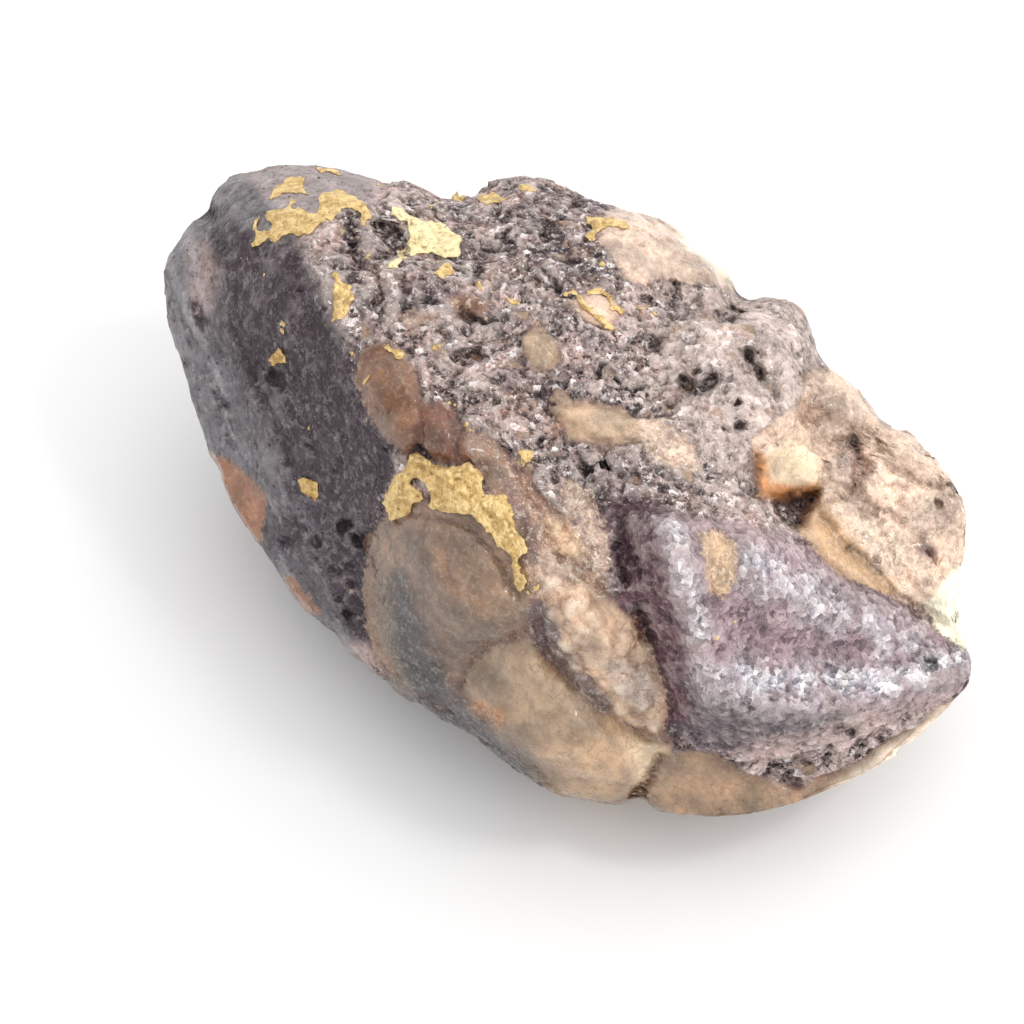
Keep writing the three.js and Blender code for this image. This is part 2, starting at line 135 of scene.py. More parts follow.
@dataclass(frozen=True)
class Chart:
    """The chart of the upper faces, and how a place on the stone is read on it."""

    unit: float = 0.0552
    middle: Pair = (565.0, 490.0)
    sight_height: float = 230.0
    lean: float = math.radians(35.0)
    turn: float = math.radians(38.5)
    origin: Triple = (1.602, -1.091, 12.2)
    frame_units: float = 1024.0

    def axes(self) -> tuple[Array, Array, Array]:
        """The chart's right, up and outward directions in the row's frame.

        Returns:
            Three unit vectors.
        """
        cos_turn, sin_turn = math.cos(self.turn), math.sin(self.turn)
        cos_lean, sin_lean = math.cos(self.lean), math.sin(self.lean)
        right = np.array([cos_turn, sin_turn, 0.0])
        up = np.array([-sin_turn * cos_lean, cos_turn * cos_lean, sin_lean])
        outward = np.array([sin_turn * sin_lean, -cos_turn * sin_lean, cos_lean])
        return right, up, outward

    def read(self, places: Array) -> Array:
        """Reads places on the chart along their sight lines.

        Args:
            places: Places in millimetres in the row's frame.

        Returns:
            Chart points.
        """
        right, up, outward = self.axes()
        offset = places - np.array(self.origin)
        height = offset @ outward
        near = (self.sight_height - height) / self.sight_height * self.unit
        x = offset @ right / near + self.middle[0]
        y = self.middle[1] - offset @ up / near
        return np.stack([x, y], axis=1)

    def sight_line(self, spot: Pair) -> tuple[Vector, Vector]:
        """The sight line through one chart point.

        Args:
            spot: The chart point.

        Returns:
            The sight point in metres and the unit direction towards the stone.
        """
        right, up, outward = self.axes()
        eye = np.array(self.origin) + outward * self.sight_height
        across = (spot[0] - self.middle[0]) * self.unit
        above = (self.middle[1] - spot[1]) * self.unit
        target = np.array(self.origin) + right * across + up * above
        return Vector(eye * MM), Vector(target - eye).normalized()


CHART = Chart()
OUTWARD = CHART.axes()[2]


def stretch_distance(points: Array, start: Array, end: Array) -> Array:
    """The distance from chart points to one straight stretch.

    Args:
        points: Chart points.
        start: The stretch's first end.
        end: Its other end, which may be the same spot.

    Returns:
        The distances in chart units.
    """
    along = end - start
    offset = points - start
    share = np.clip(offset @ along / max(along @ along, TINY), 0.0, 1.0)
    return np.linalg.norm(offset - share[:, None] * along, axis=1)


def outline_depth(points: Array, outline: Outline) -> Array:
    """How deep chart points lie inside a closed outline.

    Args:
        points: Chart points.
        outline: The outline's corners on the chart.

    Returns:
        Millimetres inside the outline, negative outside it.
    """
    corners = np.array(outline, float)
    inside = np.zeros(len(points), bool)
    nearest = np.full(len(points), np.inf)
    for start, end in zip(corners, np.roll(corners, -1, axis=0)):
        nearest = np.minimum(nearest, stretch_distance(points, start, end))
        if start[1] != end[1]:
            spans = (start[1] > points[:, 1]) != (end[1] > points[:, 1])
            along = end - start
            crossing = along[0] * (points[:, 1] - start[1]) / along[1] + start[0]
            inside ^= spans & (points[:, 0] < crossing)
    return np.where(inside, nearest, -nearest) * CHART.unit


def line_distance(points: Array, line: Outline) -> Array:
    """The distance from chart points to an open line.

    Args:
        points: Chart points.
        line: The line's corners on the chart, or one spot.

    Returns:
        Millimetres to the nearest stretch of the line.
    """
    corners = np.array(line, float)
    ends = corners[1:] if len(corners) > 1 else corners
    stretches = [stretch_distance(points, start, end) for start, end in zip(corners, ends)]
    return np.min(stretches, axis=0) * CHART.unit


@dataclass(frozen=True)
class Noise:
    """The make-up of one noise: its largest lump in millimetres, its shift and its layers."""

    size: float
    shift: float = 0.0
    count: int = 1
    keep: float = 0.5


class Grain:
    """Seeded smooth and cellular noise over places in millimetres."""

    SIZE = 256
    BEYOND = 9.0
    GAIN = 1.6
    LAYER_SHIFT = 17.0

    def __init__(self, seed: int) -> None:
        """Draws the tables of slopes and cell points.

        Args:
            seed: The seed, which gives the same stone each time.
        """
        draw = np.random.default_rng(seed)
        self.order = draw.permutation(self.SIZE)
        slopes = draw.normal(size=(self.SIZE, 3))
        self.slopes = slopes / np.linalg.norm(slopes, axis=1, keepdims=True)
        self.jitter = draw.random((self.SIZE, 3))

    def pick(self, cells: Array) -> Array:
        """Picks a table row for each cell.

        Args:
            cells: Whole-numbered cells.

        Returns:
            The rows.
        """
        wrapped = cells & (self.SIZE - 1)
        row = self.order[wrapped[:, 0]]
        row = self.order[(row + wrapped[:, 1]) & (self.SIZE - 1)]
        return self.order[(row + wrapped[:, 2]) & (self.SIZE - 1)]

    def smooth(self, places: Array, size: float) -> Array:
        """Smooth noise from about -1 to 1.

        Args:
            places: Places in millimetres.
            size: The size of one lump in millimetres.

        Returns:
            The noise at each place.
        """
        scaled = places / size
        cell = np.floor(scaled).astype(int)
        inner = scaled - cell
        fade = inner * inner * inner * (inner * (inner * 6.0 - 15.0) + 10.0)
        total = np.zeros(len(places))
        for corner in np.ndindex(2, 2, 2):
            offset = np.array(corner)
            slope = self.slopes[self.pick(cell + offset)]
            rise = np.einsum("ij,ij->i", slope, inner - offset)
            weight = np.prod(np.where(offset == 1, fade, 1.0 - fade), axis=1)
            total += weight * rise
        return total * self.GAIN

    def layers(self, places: Array, noise: Noise) -> Array:
        """Layers of smooth noise, each half the size of the one before.

        Args:
            places: Places in millimetres.
            noise: The noise's make-up, whose keep is the strength that each layer passes on.

        Returns:
            The noise at each place, from about -1 to 1.
        """
        shifted = places + noise.shift
        total = np.zeros(len(places))
        strength, reach = 1.0, 0.0
        for layer in range(noise.count):
            total += strength * self.smooth(shifted + self.LAYER_SHIFT * layer,
                                            noise.size / 2.0 ** layer)
            reach += strength
            strength *= noise.keep
        return total / reach

    def drift(self, places: Array, noise: Noise, shifts: tuple[float, ...]) -> Array:
        """The same noise read at several shifts, one column for each, to move places by."""
        return np.stack([self.layers(places + shift, noise) for shift in shifts], axis=1)

    def neighbours(self, scaled: Array) -> Iterator[tuple[Array, Array]]:
        """The cells round scaled places, one side at a time.

        Args:
            scaled: Places in shares of a cell's width.

        Yields:
            A cell for each place, and its table row.
        """
        cell = np.floor(scaled).astype(int)
        for corner in np.ndindex(3, 3, 3):
            neighbour = cell + np.array(corner) - 1
            yield neighbour, self.pick(neighbour)

    def facets(self, places: Array, size: float) -> Array:
        """The height of broken facets, each one flat and tilted its own way.

        Args:
            places: Places in millimetres.
            size: The mean width of a facet in millimetres.

        Returns:
            The height at each place in shares of the width, from about -0.6 to 0.6.
        """
        scaled = places / size
        nearest = np.full(len(places), self.BEYOND)
        height = np.zeros(len(places))
        for cell, row in self.neighbours(scaled):
            offset = scaled - cell - self.jitter[row]
            distance = np.linalg.norm(offset, axis=1)
            tilted = np.einsum("ij,ij->i", offset, self.slopes[row])
            height = np.where(distance < nearest, tilted, height)
            nearest = np.minimum(nearest, distance)
        return height

    def cells(self, places: Array, size: float) -> tuple[Array, Array]:
        """Distances to the nearest and the second nearest of scattered points.

        Args:
            places: Places in millimetres.
            size: The mean spacing of the points in millimetres.

        Returns:
            Both distances in shares of the spacing.
        """
        scaled = places / size
        first = np.full(len(places), self.BEYOND)
        second = first.copy()
        for cell, row in self.neighbours(scaled):
            distance = np.linalg.norm(scaled - (cell + self.jitter[row]), axis=1)
            second = np.minimum(second, np.maximum(first, distance))
            first = np.minimum(first, distance)
        return first, second


@dataclass(frozen=True)
class QuartzPatch:
    """A patch of quartz that shows in the ironstone: its tint, its outline and its make-up."""

    name: str
    tint: Tint
    outline: Outline
    grain: float = 0.15
    stain: float = 0.3
    soft: float = 0.35
    share: float = 1.0
    knots: float = 0.0
    under: bool = False


@dataclass(frozen=True)
class StonePatch:
    """A region of the ironstone with its own tint."""

    name: str
    tint: Tint
    outline: Outline
    edge: float = 1.5
    share: float = 1.0


@dataclass(frozen=True)
class Ledge:
    """A mass with a crisp edge that stands above or below what is round it."""

    name: str
    rise: float
    edge: float
    outline: Outline


@dataclass(frozen=True)
class Fold:
    """A rounded ridge along a line, or a groove where it sinks."""

    name: str
    width: float
    rise: float
    line: Outline
    # How much dirt and painted shade darkens the fold's crease.
    dirt: float = 0.0


@dataclass(frozen=True)
class Lump:
    """A rounded lump, or a dent where it sinks."""

    x: float
    y: float
    width: float
    rise: float

    def height(self, points: Array) -> Array:
        """How far the lump lifts each chart point, in millimetres."""
        return self.rise * bell(line_distance(points, ((self.x, self.y),)), self.width)


@dataclass(frozen=True)
class Pit:
    """A pit in the surface, round or drawn out along a line."""

    line: Outline
    radius: float
    depth: float
    # How much dirt and painted shade darkens the pit.
    dirt: float = 0.85


@dataclass(frozen=True)
class FlakeForm:
    """The form of one gold leaf or flake: its CAD node, its outline and how it stands."""

    node: str
    outline: Outline
    lift: float = 0.20
    edge: float = 0.07
    hole: Outline = ()
    # How far the flake is paled towards cream, as painted highlight.
    pale: float = 0.15
    # How much the whole flake is darkened.
    darkening: float = 0.0
    spread: float = 0.07


QUARTZ = (
    QuartzPatch("pebble ground", Tint.SEAM, ((366, 536), (400, 500), (470, 500), (530, 540), (600, 584),
        (640, 620), (668, 700), (672, 760), (640, 808), (560, 808), (470, 756), (400, 704), (366, 640)),
        0.3, 0.3),
    QuartzPatch("brown lobe", Tint.BROWN, ((360, 350), (382, 343), (404, 350), (420, 374), (424, 400),
        (422, 436), (408, 458), (384, 440), (366, 418), (357, 384)), 0.12, 0.4),
    QuartzPatch("second brown lobe", Tint.UMBER, ((424, 400), (440, 398), (456, 410), (466, 432),
        (472, 460), (462, 466), (440, 462), (424, 452), (414, 430)), 0.12, 0.4),
    QuartzPatch("leaf neighbour", Tint.GREY_TAN, ((462, 436), (484, 432), (504, 448), (522, 486),
        (536, 530), (530, 600), (516, 560), (496, 500), (478, 468)), 0.3, 0.6),
    QuartzPatch("pebble band", Tint.SAND, ((500, 452), (518, 470), (548, 500), (584, 530), (604, 562),
        (606, 596), (590, 600), (560, 592), (536, 600), (526, 580), (528, 548), (516, 500)), 0.6, 1.0,
        knots=0.10),
    QuartzPatch("band orange", Tint.AMBER, ((546, 520), (562, 516), (584, 536), (592, 556), (574, 562),
        (556, 544)), 0.4, 0.6, 0.5, knots=0.22),
    QuartzPatch("band pale", Tint.PEACH, ((536, 562), (548, 552), (566, 568), (562, 590), (544, 590)),
        0.3, 0.3, 0.5, knots=0.15),
    QuartzPatch("band purple", Tint.MAROON, ((504, 486), (518, 492), (534, 530), (538, 560), (530, 566),
        (524, 532), (512, 508)), 0.5, 0.3, 0.5, 0.7),
    QuartzPatch("band fringe", Tint.PINK_TAN, ((560, 470), (590, 492), (606, 524), (612, 566),
        (602, 574), (584, 536), (562, 502)), 0.6, 0.8, knots=0.18),
    QuartzPatch("front pebble", Tint.GREY_TAN, ((368, 536), (392, 506), (420, 496), (470, 510),
        (506, 548), (528, 600), (526, 628), (500, 639), (470, 658), (455, 690), (474, 738), (430, 716),
        (402, 688), (376, 650), (362, 600)), 0.1, 0.28, 0.25),
    QuartzPatch("lower pebble", Tint.WARM_TAN, ((456, 704), (466, 668), (494, 646), (530, 640),
        (556, 672), (596, 708), (648, 738), (668, 752), (656, 782), (634, 800), (606, 812), (560, 806),
        (528, 784), (486, 750)), 0.05, 0.3, 0.2, under=True),
    QuartzPatch("orange crystals", Tint.ORANGE, ((462, 705), (478, 700), (504, 712), (500, 726),
        (470, 728)), 0.35, 0.2, 0.35, 0.6),
    QuartzPatch("pebble veil", Tint.VEIL, ((383, 584), (396, 562), (414, 600), (428, 644), (448, 676),
        (478, 714), (520, 752), (540, 782), (500, 778), (446, 750), (404, 708), (384, 650)), 0.2, 0.1,
        0.9, 1.0),
    QuartzPatch("pebble rim", Tint.WARM_TAN, ((366, 536), (384, 528), (396, 560), (392, 610),
        (396, 650), (412, 690), (402, 694), (376, 656), (364, 610)), 0.15, 0.2, 0.45, 0.35),
    QuartzPatch("front pebble veil", Tint.VEIL, ((404, 540), (430, 530), (424, 580), (440, 620),
        (470, 650), (440, 660), (412, 610)), 0.1, 0.2, 1.2, 0.26),
    QuartzPatch("lower pebble light", Tint.IVORY, ((492, 664), (528, 652), (562, 688), (598, 728),
        (566, 746), (520, 716)), 0.1, 0.2, 1.2, 0.16),
    # The glow patches paint the warm light that shines through the translucent quartz.
    QuartzPatch("front pebble glow", Tint.WARM_TAN, ((470, 560), (500, 566), (520, 604), (500, 624),
        (476, 612)), 0.15, 0.3, 1.0, 0.4),
    QuartzPatch("lower pebble glow", Tint.AMBER, ((560, 740), (610, 730), (652, 748), (648, 780),
        (610, 800), (560, 788)), 0.05, 0.3, 1.4, 0.5),
    QuartzPatch("lower pebble tip", Tint.IVORY, ((630, 744), (656, 740), (668, 756), (656, 786),
        (634, 776)), 0.05, 0.1, 0.7, 0.6),
    QuartzPatch("knotty quartz", Tint.KNOT, ((542, 606), (562, 588), (592, 586), (620, 608), (646, 640),
        (660, 676), (668, 712), (660, 738), (626, 724), (584, 698), (554, 662)), 0.1, 0.4, 0.25,
        knots=0.30),
    QuartzPatch("bottom strip", Tint.WARM_TAN, ((640, 796), (650, 764), (684, 752), (722, 756),
        (748, 776), (800, 786), (856, 762), (912, 722), (948, 698), (990, 690), (930, 790), (800, 860),
        (720, 860), (640, 850)), 0.05, 0.4, under=True),
    QuartzPatch("strip end", Tint.SHELL, ((836, 790), (880, 756), (950, 702), (996, 690), (950, 790),
        (850, 840)), 0.1, 0.1, 0.8, under=True),
    QuartzPatch("right block", Tint.PEACH, ((808, 372), (856, 360), (904, 424), (990, 470), (994, 560),
        (960, 600), (926, 612), (890, 596), (852, 572), (816, 546), (800, 534), (806, 512), (814, 496),
        (790, 500), (762, 502), (752, 470), (748, 440), (776, 424), (800, 404)), 0.46, 0.22,
        under=True),
    QuartzPatch("block crest", Tint.PINK_TAN, ((822, 378), (846, 372), (862, 396), (868, 420),
        (846, 424), (824, 410)), 0.3, 0.5, 0.6, 0.8, under=True),
    QuartzPatch("block rust", Tint.RUST, ((794, 410), (812, 402), (826, 408), (822, 424), (804, 430)),
        0.5, 0.8, 0.5, 0.6),
    QuartzPatch("block pocket", Tint.BLUSH, ((836, 446), (858, 438), (872, 458), (874, 486), (856, 492),
        (838, 474)), 0.6, 0.7, 0.5, 0.6),
    QuartzPatch("block grey", Tint.SLATE, ((906, 500), (940, 494), (956, 512), (950, 536), (920, 534),
        (904, 518)), 0.5, 0.2, 0.7, 0.2, under=True),
    QuartzPatch("block spot", Tint.MAROON, ((918, 546), (930, 542), (938, 552), (932, 562), (920, 558)),
        0.4, 0.4, 0.3, 0.8, under=True),
    QuartzPatch("block pale", Tint.SHELL, ((846, 516), (880, 522), (908, 548), (902, 572), (880, 566),
        (856, 544)), 0.8, 0.2, 0.7, 0.3),
    QuartzPatch("cream rim", Tint.CREAM, ((926, 604), (942, 586), (960, 566), (1000, 556), (1000, 655),
        (958, 650), (936, 626)), 0.0, 0.0, 0.3, under=True),
    QuartzPatch("amber cavity", Tint.IVORY, ((762, 456), (786, 438), (818, 452), (818, 484), (800, 488),
        (774, 486)), 0.1, 0.2),
    QuartzPatch("upper right", Tint.PINK_TAN, ((606, 208), (640, 204), (706, 240), (760, 296),
        (728, 290), (700, 284), (668, 280), (644, 288), (626, 280), (612, 260), (598, 240)), 0.30,
        0.35),
    QuartzPatch("upper right rim", Tint.CREAM, ((676, 226), (706, 236), (756, 292), (738, 290),
        (716, 270), (690, 250)), 0.1, 0.1),
    QuartzPatch("middle pebble", Tint.PALE_TAN, ((520, 336), (538, 324), (558, 336), (562, 360),
        (544, 374), (528, 368)), 0.2, 0.3),
    QuartzPatch("almond", Tint.PALE_TAN, ((552, 406), (588, 398), (620, 408), (640, 424), (642, 444),
        (612, 446), (572, 438)), 0.1, 0.35),
    QuartzPatch("almond tail", Tint.PINK_TAN, ((634, 420), (664, 420), (694, 438), (702, 470),
        (672, 468), (644, 446)), 0.6, 0.5),
    QuartzPatch("lens", Tint.PEACH, ((568, 304), (590, 290), (616, 298), (626, 314), (608, 330),
        (582, 320)), 0.1, 0.5),
    QuartzPatch("knot grey", Tint.SLATE, ((610, 662), (640, 668), (658, 700), (642, 714), (616, 694)),
        0.5, 0.2, 0.4, 0.5, knots=0.30),
    QuartzPatch("tongue", Tint.AMBER, ((698, 534), (716, 526), (738, 548), (736, 576), (722, 600),
        (710, 588), (704, 560)), 0.5, 0.4),
    QuartzPatch("seam stone", Tint.SMOKE, ((525, 610), (540, 600), (554, 610), (562, 640), (576, 664),
        (592, 684), (612, 708), (602, 712), (580, 692), (556, 668), (540, 650), (530, 632)), 0.5, 0.35,
        0.35, 0.85),
    QuartzPatch("left amber", Tint.RUST, ((196, 446), (228, 458), (252, 474), (268, 500), (264, 540),
        (250, 556), (222, 520)), 0.08, 0.2),
    QuartzPatch("low amber", Tint.RUST, ((272, 574), (296, 578), (324, 612), (300, 624), (276, 604)),
        0.08, 0.2),
    QuartzPatch("top blush", Tint.PINK_TAN, ((406, 314), (420, 308), (430, 318), (418, 328),
        (406, 324)), 0.5, 0.9),
    QuartzPatch("top grain", Tint.BROWN, ((446, 300), (470, 294), (492, 304), (486, 318), (458, 316)),
        0.6, 0.9),
    QuartzPatch("block wall", Tint.AMBER, ((796, 530), (808, 500), (826, 506), (850, 536), (876, 562),
        (904, 590), (884, 598), (846, 580), (816, 554)), 0.05, 0.2),
    QuartzPatch("cavity wall", Tint.ORANGE, ((756, 452), (766, 458), (772, 484), (820, 484), (816, 496),
        (782, 504), (758, 500)), 0.05, 0.4),
)

STONE = (
    StonePatch("left face", Tint.PLUM, ((150, 220), (240, 170), (296, 236), (340, 322), (374, 402),
        (400, 452), (380, 540), (368, 640), (280, 640), (190, 480)), 0.8),
    # The left flank is tinted towards slate: partly its own grey, partly painted reflection of the pale
    # surroundings along its grazing edge.
    StonePatch("left flank", Tint.SLATE, ((140, 220), (206, 226), (214, 330), (250, 410), (276, 470),
        (266, 540), (320, 600), (372, 680), (290, 640), (200, 520)), 2.4, 0.6),
    StonePatch("rim blush", Tint.LILAC, ((188, 250), (206, 242), (216, 262), (212, 304), (194, 324)),
        1.2, 0.9),
    StonePatch("blue rim", Tint.SLATE, ((376, 600), (396, 600), (420, 680), (520, 770), (470, 760),
        (380, 690)), 0.9, 0.9),
    StonePatch("snout", Tint.DULL_PLUM, ((600, 500), (650, 500), (720, 520), (790, 532), (860, 578),
        (960, 640), (990, 680), (930, 720), (850, 760), (760, 772), (690, 750), (650, 700), (620, 620)),
        0.8),
    StonePatch("snout foot", Tint.SMOKE, ((652, 668), (700, 690), (760, 706), (860, 714), (860, 740),
        (760, 752), (700, 752), (664, 730)), 1.0, 0.85),
    StonePatch("low web", Tint.SLATE, ((230, 440), (330, 440), (368, 520), (362, 600), (330, 604),
        (270, 540)), 2.2, 0.1),
    # The snout's left wall is tinted wine: partly its own dark iron, partly painted shade on a wall
    # that turns away from the light.
    StonePatch("snout wall", Tint.WINE, ((598, 496), (642, 494), (660, 518), (666, 560), (673, 610),
        (682, 660), (692, 712), (662, 734), (628, 640)), 0.6, 1.0),
    StonePatch("knob", Tint.ASH, ((640, 320), (700, 290), (800, 280), (840, 380), (800, 440),
        (740, 500), (660, 480), (620, 400)), 3.0),
    StonePatch("middle dark", Tint.SOOT, ((560, 470), (620, 460), (690, 480), (700, 520), (620, 530),
        (580, 510)), 1.6, 0.5),
    StonePatch("far dark", Tint.MAROON, ((500, 180), (600, 200), (610, 260), (580, 290), (520, 260)),
        1.8, 0.75),
    StonePatch("crown shade", Tint.SOOT, ((344, 222), (374, 230), (386, 290), (384, 336), (362, 344),
        (346, 300), (334, 262)), 1.2, 0.55),
    StonePatch("crown", Tint.SLATE, ((218, 172), (300, 158), (376, 170), (386, 198), (330, 214),
        (290, 240), (240, 230), (212, 200)), 1.0, 0.5),
    StonePatch("crown pale", Tint.ROSE, ((378, 178), (430, 182), (456, 196), (440, 208), (400, 206),
        (374, 196)), 0.8, 0.8),
    StonePatch("gold shade", Tint.SOOT, ((406, 260), (440, 278), (464, 290), (458, 314), (424, 306),
        (404, 284)), 1.0, 0.7),
    StonePatch("middle charcoal", Tint.SOOT, ((484, 342), (520, 372), (556, 380), (562, 420),
        (530, 432), (498, 402), (480, 370)), 1.2, 0.7),
    StonePatch("pocket", Tint.ASH, ((760, 496), (812, 490), (806, 514), (798, 534), (780, 526)), 0.4,
        0.8),
    StonePatch("middle pale", Tint.ROSE, ((568, 340), (630, 334), (654, 366), (626, 394), (580, 390)),
        1.6, 1.0),
    StonePatch("under snout", Tint.ROSE, ((730, 748), (800, 732), (900, 704), (960, 690), (900, 750),
        (820, 790), (740, 776)), 0.8, 0.75),
)

LEDGES = (
    Ledge("crevice", -1.5, 0.3, ((772, 502), (820, 489), (812, 508), (797, 532), (784, 528))),
    Ledge("cavity block", 0.75, 0.25, ((759, 452), (788, 438), (822, 456), (818, 487), (790, 492),
        (761, 494))),
    Ledge("block shoulder", 0.6, 0.28, ((819, 506), (850, 500), (884, 440), (960, 470), (985, 590),
        (950, 622), (900, 592), (872, 562), (846, 542))),
    Ledge("snout lip", 0.3, 0.4, ((628, 512), (712, 520), (790, 531), (862, 577), (962, 640),
        (990, 670), (960, 704), (890, 730), (820, 754), (760, 766), (712, 750), (676, 700), (656, 640),
        (636, 580))),
    Ledge("block right part", 0.35, 0.3, ((878, 436), (900, 440), (990, 470), (990, 600), (930, 600),
        (896, 560), (880, 520), (862, 486), (862, 452))),
    Ledge("block upper part", 0.3, 0.35, ((822, 374), (850, 366), (880, 424), (862, 440), (836, 436),
        (822, 410))),
    Ledge("block knot", 0.35, 0.3, ((828, 458), (850, 452), (862, 470), (850, 488), (832, 480))),
    Ledge("brown lobe", 0.35, 0.6, ((364, 358), (404, 354), (426, 398), (422, 430), (386, 434),
        (368, 410))),
    Ledge("second lobe", 0.3, 0.4, ((424, 406), (450, 410), (470, 454), (446, 458), (424, 440))),
    Ledge("neck pebble", 0.4, 0.35, ((464, 440), (480, 434), (494, 446), (488, 462), (468, 458))),
    Ledge("almond", 0.3, 0.5, ((556, 410), (590, 402), (636, 420), (636, 440), (600, 440))),
    Ledge("middle pebble", 0.25, 0.4, ((520, 338), (540, 327), (558, 342), (546, 370), (528, 364))),
    Ledge("lens", 0.2, 0.3, ((572, 305), (594, 292), (622, 312), (606, 326), (584, 318))),
)

# A fold's last number, where it is given, is the dirt and painted shade in its crease.
FOLDS = (
    Fold("snout foot", 0.4, -0.1, ((612, 520), (618, 560), (632, 600), (644, 640), (660, 690),
        (674, 730))),
    Fold("snout left ridge", 0.95, 0.65, ((664, 524), (674, 560), (684, 610), (696, 650), (712, 690))),
    Fold("wall crease", 0.34, -0.4, ((618, 516), (628, 550), (640, 572)), 0.7),
    Fold("wall low crease", 0.30, -0.3, ((638, 600), (648, 640), (664, 690)), 0.6),
    Fold("snout crest", 1.3, 0.8, ((710, 706), (770, 712), (840, 708), (900, 694), (950, 676))),
    Fold("snout hollow", 1.0, -0.4, ((712, 610), (750, 640), (830, 648), (900, 652))),
    Fold("snout back", 0.4, -0.3, ((630, 508), (672, 506), (716, 518)), 0.2),
    Fold("tongue groove", 0.7, -0.25, ((722, 530), (718, 570), (716, 600))),
    Fold("pebble seam", 0.16, -0.3, ((460, 684), (476, 656), (504, 640), (528, 628)), 0.45),
    Fold("knot seam", 0.2, -0.45, ((536, 614), (546, 650), (570, 682), (604, 710), (652, 738)), 0.5),
    Fold("seam pocket", 0.4, -0.35, ((532, 618), (540, 644), (556, 668)), 0.5),
    Fold("leaf foot", 0.16, -0.3, ((396, 522), (412, 514), (440, 517), (472, 529), (490, 548),
        (506, 578), (516, 598)), 0.6),
    Fold("crown groove", 0.22, -0.35, ((346, 214), (350, 232), (344, 250)), 0.2),
    Fold("crown cleft", 0.34, -0.4, ((352, 240), (355, 262), (348, 288)), 0.75),
    Fold("second crown cleft", 0.30, -0.4, ((374, 268), (382, 296), (378, 322)), 0.75),
    Fold("third crown cleft", 0.28, -0.35, ((398, 268), (408, 290), (403, 312)), 0.65),
    Fold("fourth crown cleft", 0.24, -0.3, ((424, 282), (431, 306)), 0.6),
    Fold("saddle cleft", 0.30, -0.35, ((470, 246), (480, 262), (476, 282)), 0.6),
    Fold("far cleft", 0.40, -0.4, ((548, 226), (560, 246), (572, 262)), 0.6),
    Fold("far cleft end", 0.30, -0.35, ((534, 262), (548, 276)), 0.6),
    Fold("front pebble rib", 0.9, 0.3, ((420, 560), (450, 600), (490, 628))),
    Fold("front pebble dent", 0.8, -0.25, ((450, 560), (480, 600))),
    Fold("pebble notch", 0.26, -0.7, ((660, 756), (650, 778), (634, 804)), 0.6),
    Fold("block crack", 0.18, -0.35, ((856, 440), (858, 462), (852, 492), (872, 508), (902, 522)), 0.6),
    Fold("block stain", 0.4, -0.2, ((822, 420), (846, 428), (868, 426)), 0.15),
    Fold("block seam", 0.3, -0.35, ((812, 396), (808, 420), (824, 440), (850, 448)), 0.25),
    Fold("block dent", 0.4, -0.4, ((856, 440), (862, 466)), 0.35),
    Fold("crevice shade", 0.26, -0.4, ((786, 497), (813, 493), (808, 510), (799, 526)), 0.95),
    Fold("block slit", 0.16, -0.3, ((838, 494), (862, 512), (884, 520)), 0.6),
    Fold("block joint", 0.16, -0.3, ((880, 440), (892, 470), (926, 486), (950, 486)), 0.5),
    Fold("wall foot", 0.2, -0.45, ((796, 536), (830, 562), (866, 588), (892, 602)), 0.5),
    Fold("lobe seam", 0.2, -0.4, ((414, 370), (421, 400), (420, 440), (408, 456)), 0.7),
    Fold("cross seam", 0.16, -0.25, ((364, 408), (388, 411), (418, 404)), 0.4),
    Fold("second seam", 0.2, -0.4, ((452, 398), (456, 430), (458, 464)), 0.7),
    Fold("neighbour seam", 0.2, -0.3, ((502, 444), (520, 480), (540, 520), (560, 560)), 0.6),
    Fold("leaf cleft", 0.3, -0.45, ((388, 446), (412, 452), (448, 464)), 0.8),
    Fold("band streak", 0.2, -0.22, ((522, 470), (552, 510), (580, 550), (600, 590)), 0.55),
    Fold("ridge hollow", 0.7, -0.5, ((348, 236), (362, 262))),
    Fold("lit edge", 0.6, 0.25, ((306, 246), (322, 290), (340, 332), (366, 380))),
    Fold("rib web", 0.4, 0.3, ((222, 250), (226, 330), (246, 380), (262, 420), (268, 460))),
    Fold("rim rib", 0.35, 0.3, ((282, 380), (272, 420), (274, 470), (292, 540), (332, 600),
        (352, 640))),
    Fold("crown step", 0.5, -0.4, ((203, 206), (214, 232), (222, 262))),
)

# The bands where the snout's colour is turned to painted sheen, and made more metallic.
BANDS = (
    Fold("left band", 0.66, 0.9, ((672, 528), (682, 560), (692, 600), (700, 634))),
    Fold("upper band", 1.15, 0.74, ((756, 566), (796, 588), (850, 622), (900, 640))),
    Fold("lower band", 1.05, 0.98, ((712, 676), (780, 684), (860, 682), (920, 672), (950, 662))),
    Fold("tip", 1.0, 0.95, ((930, 668), (958, 660))),
)

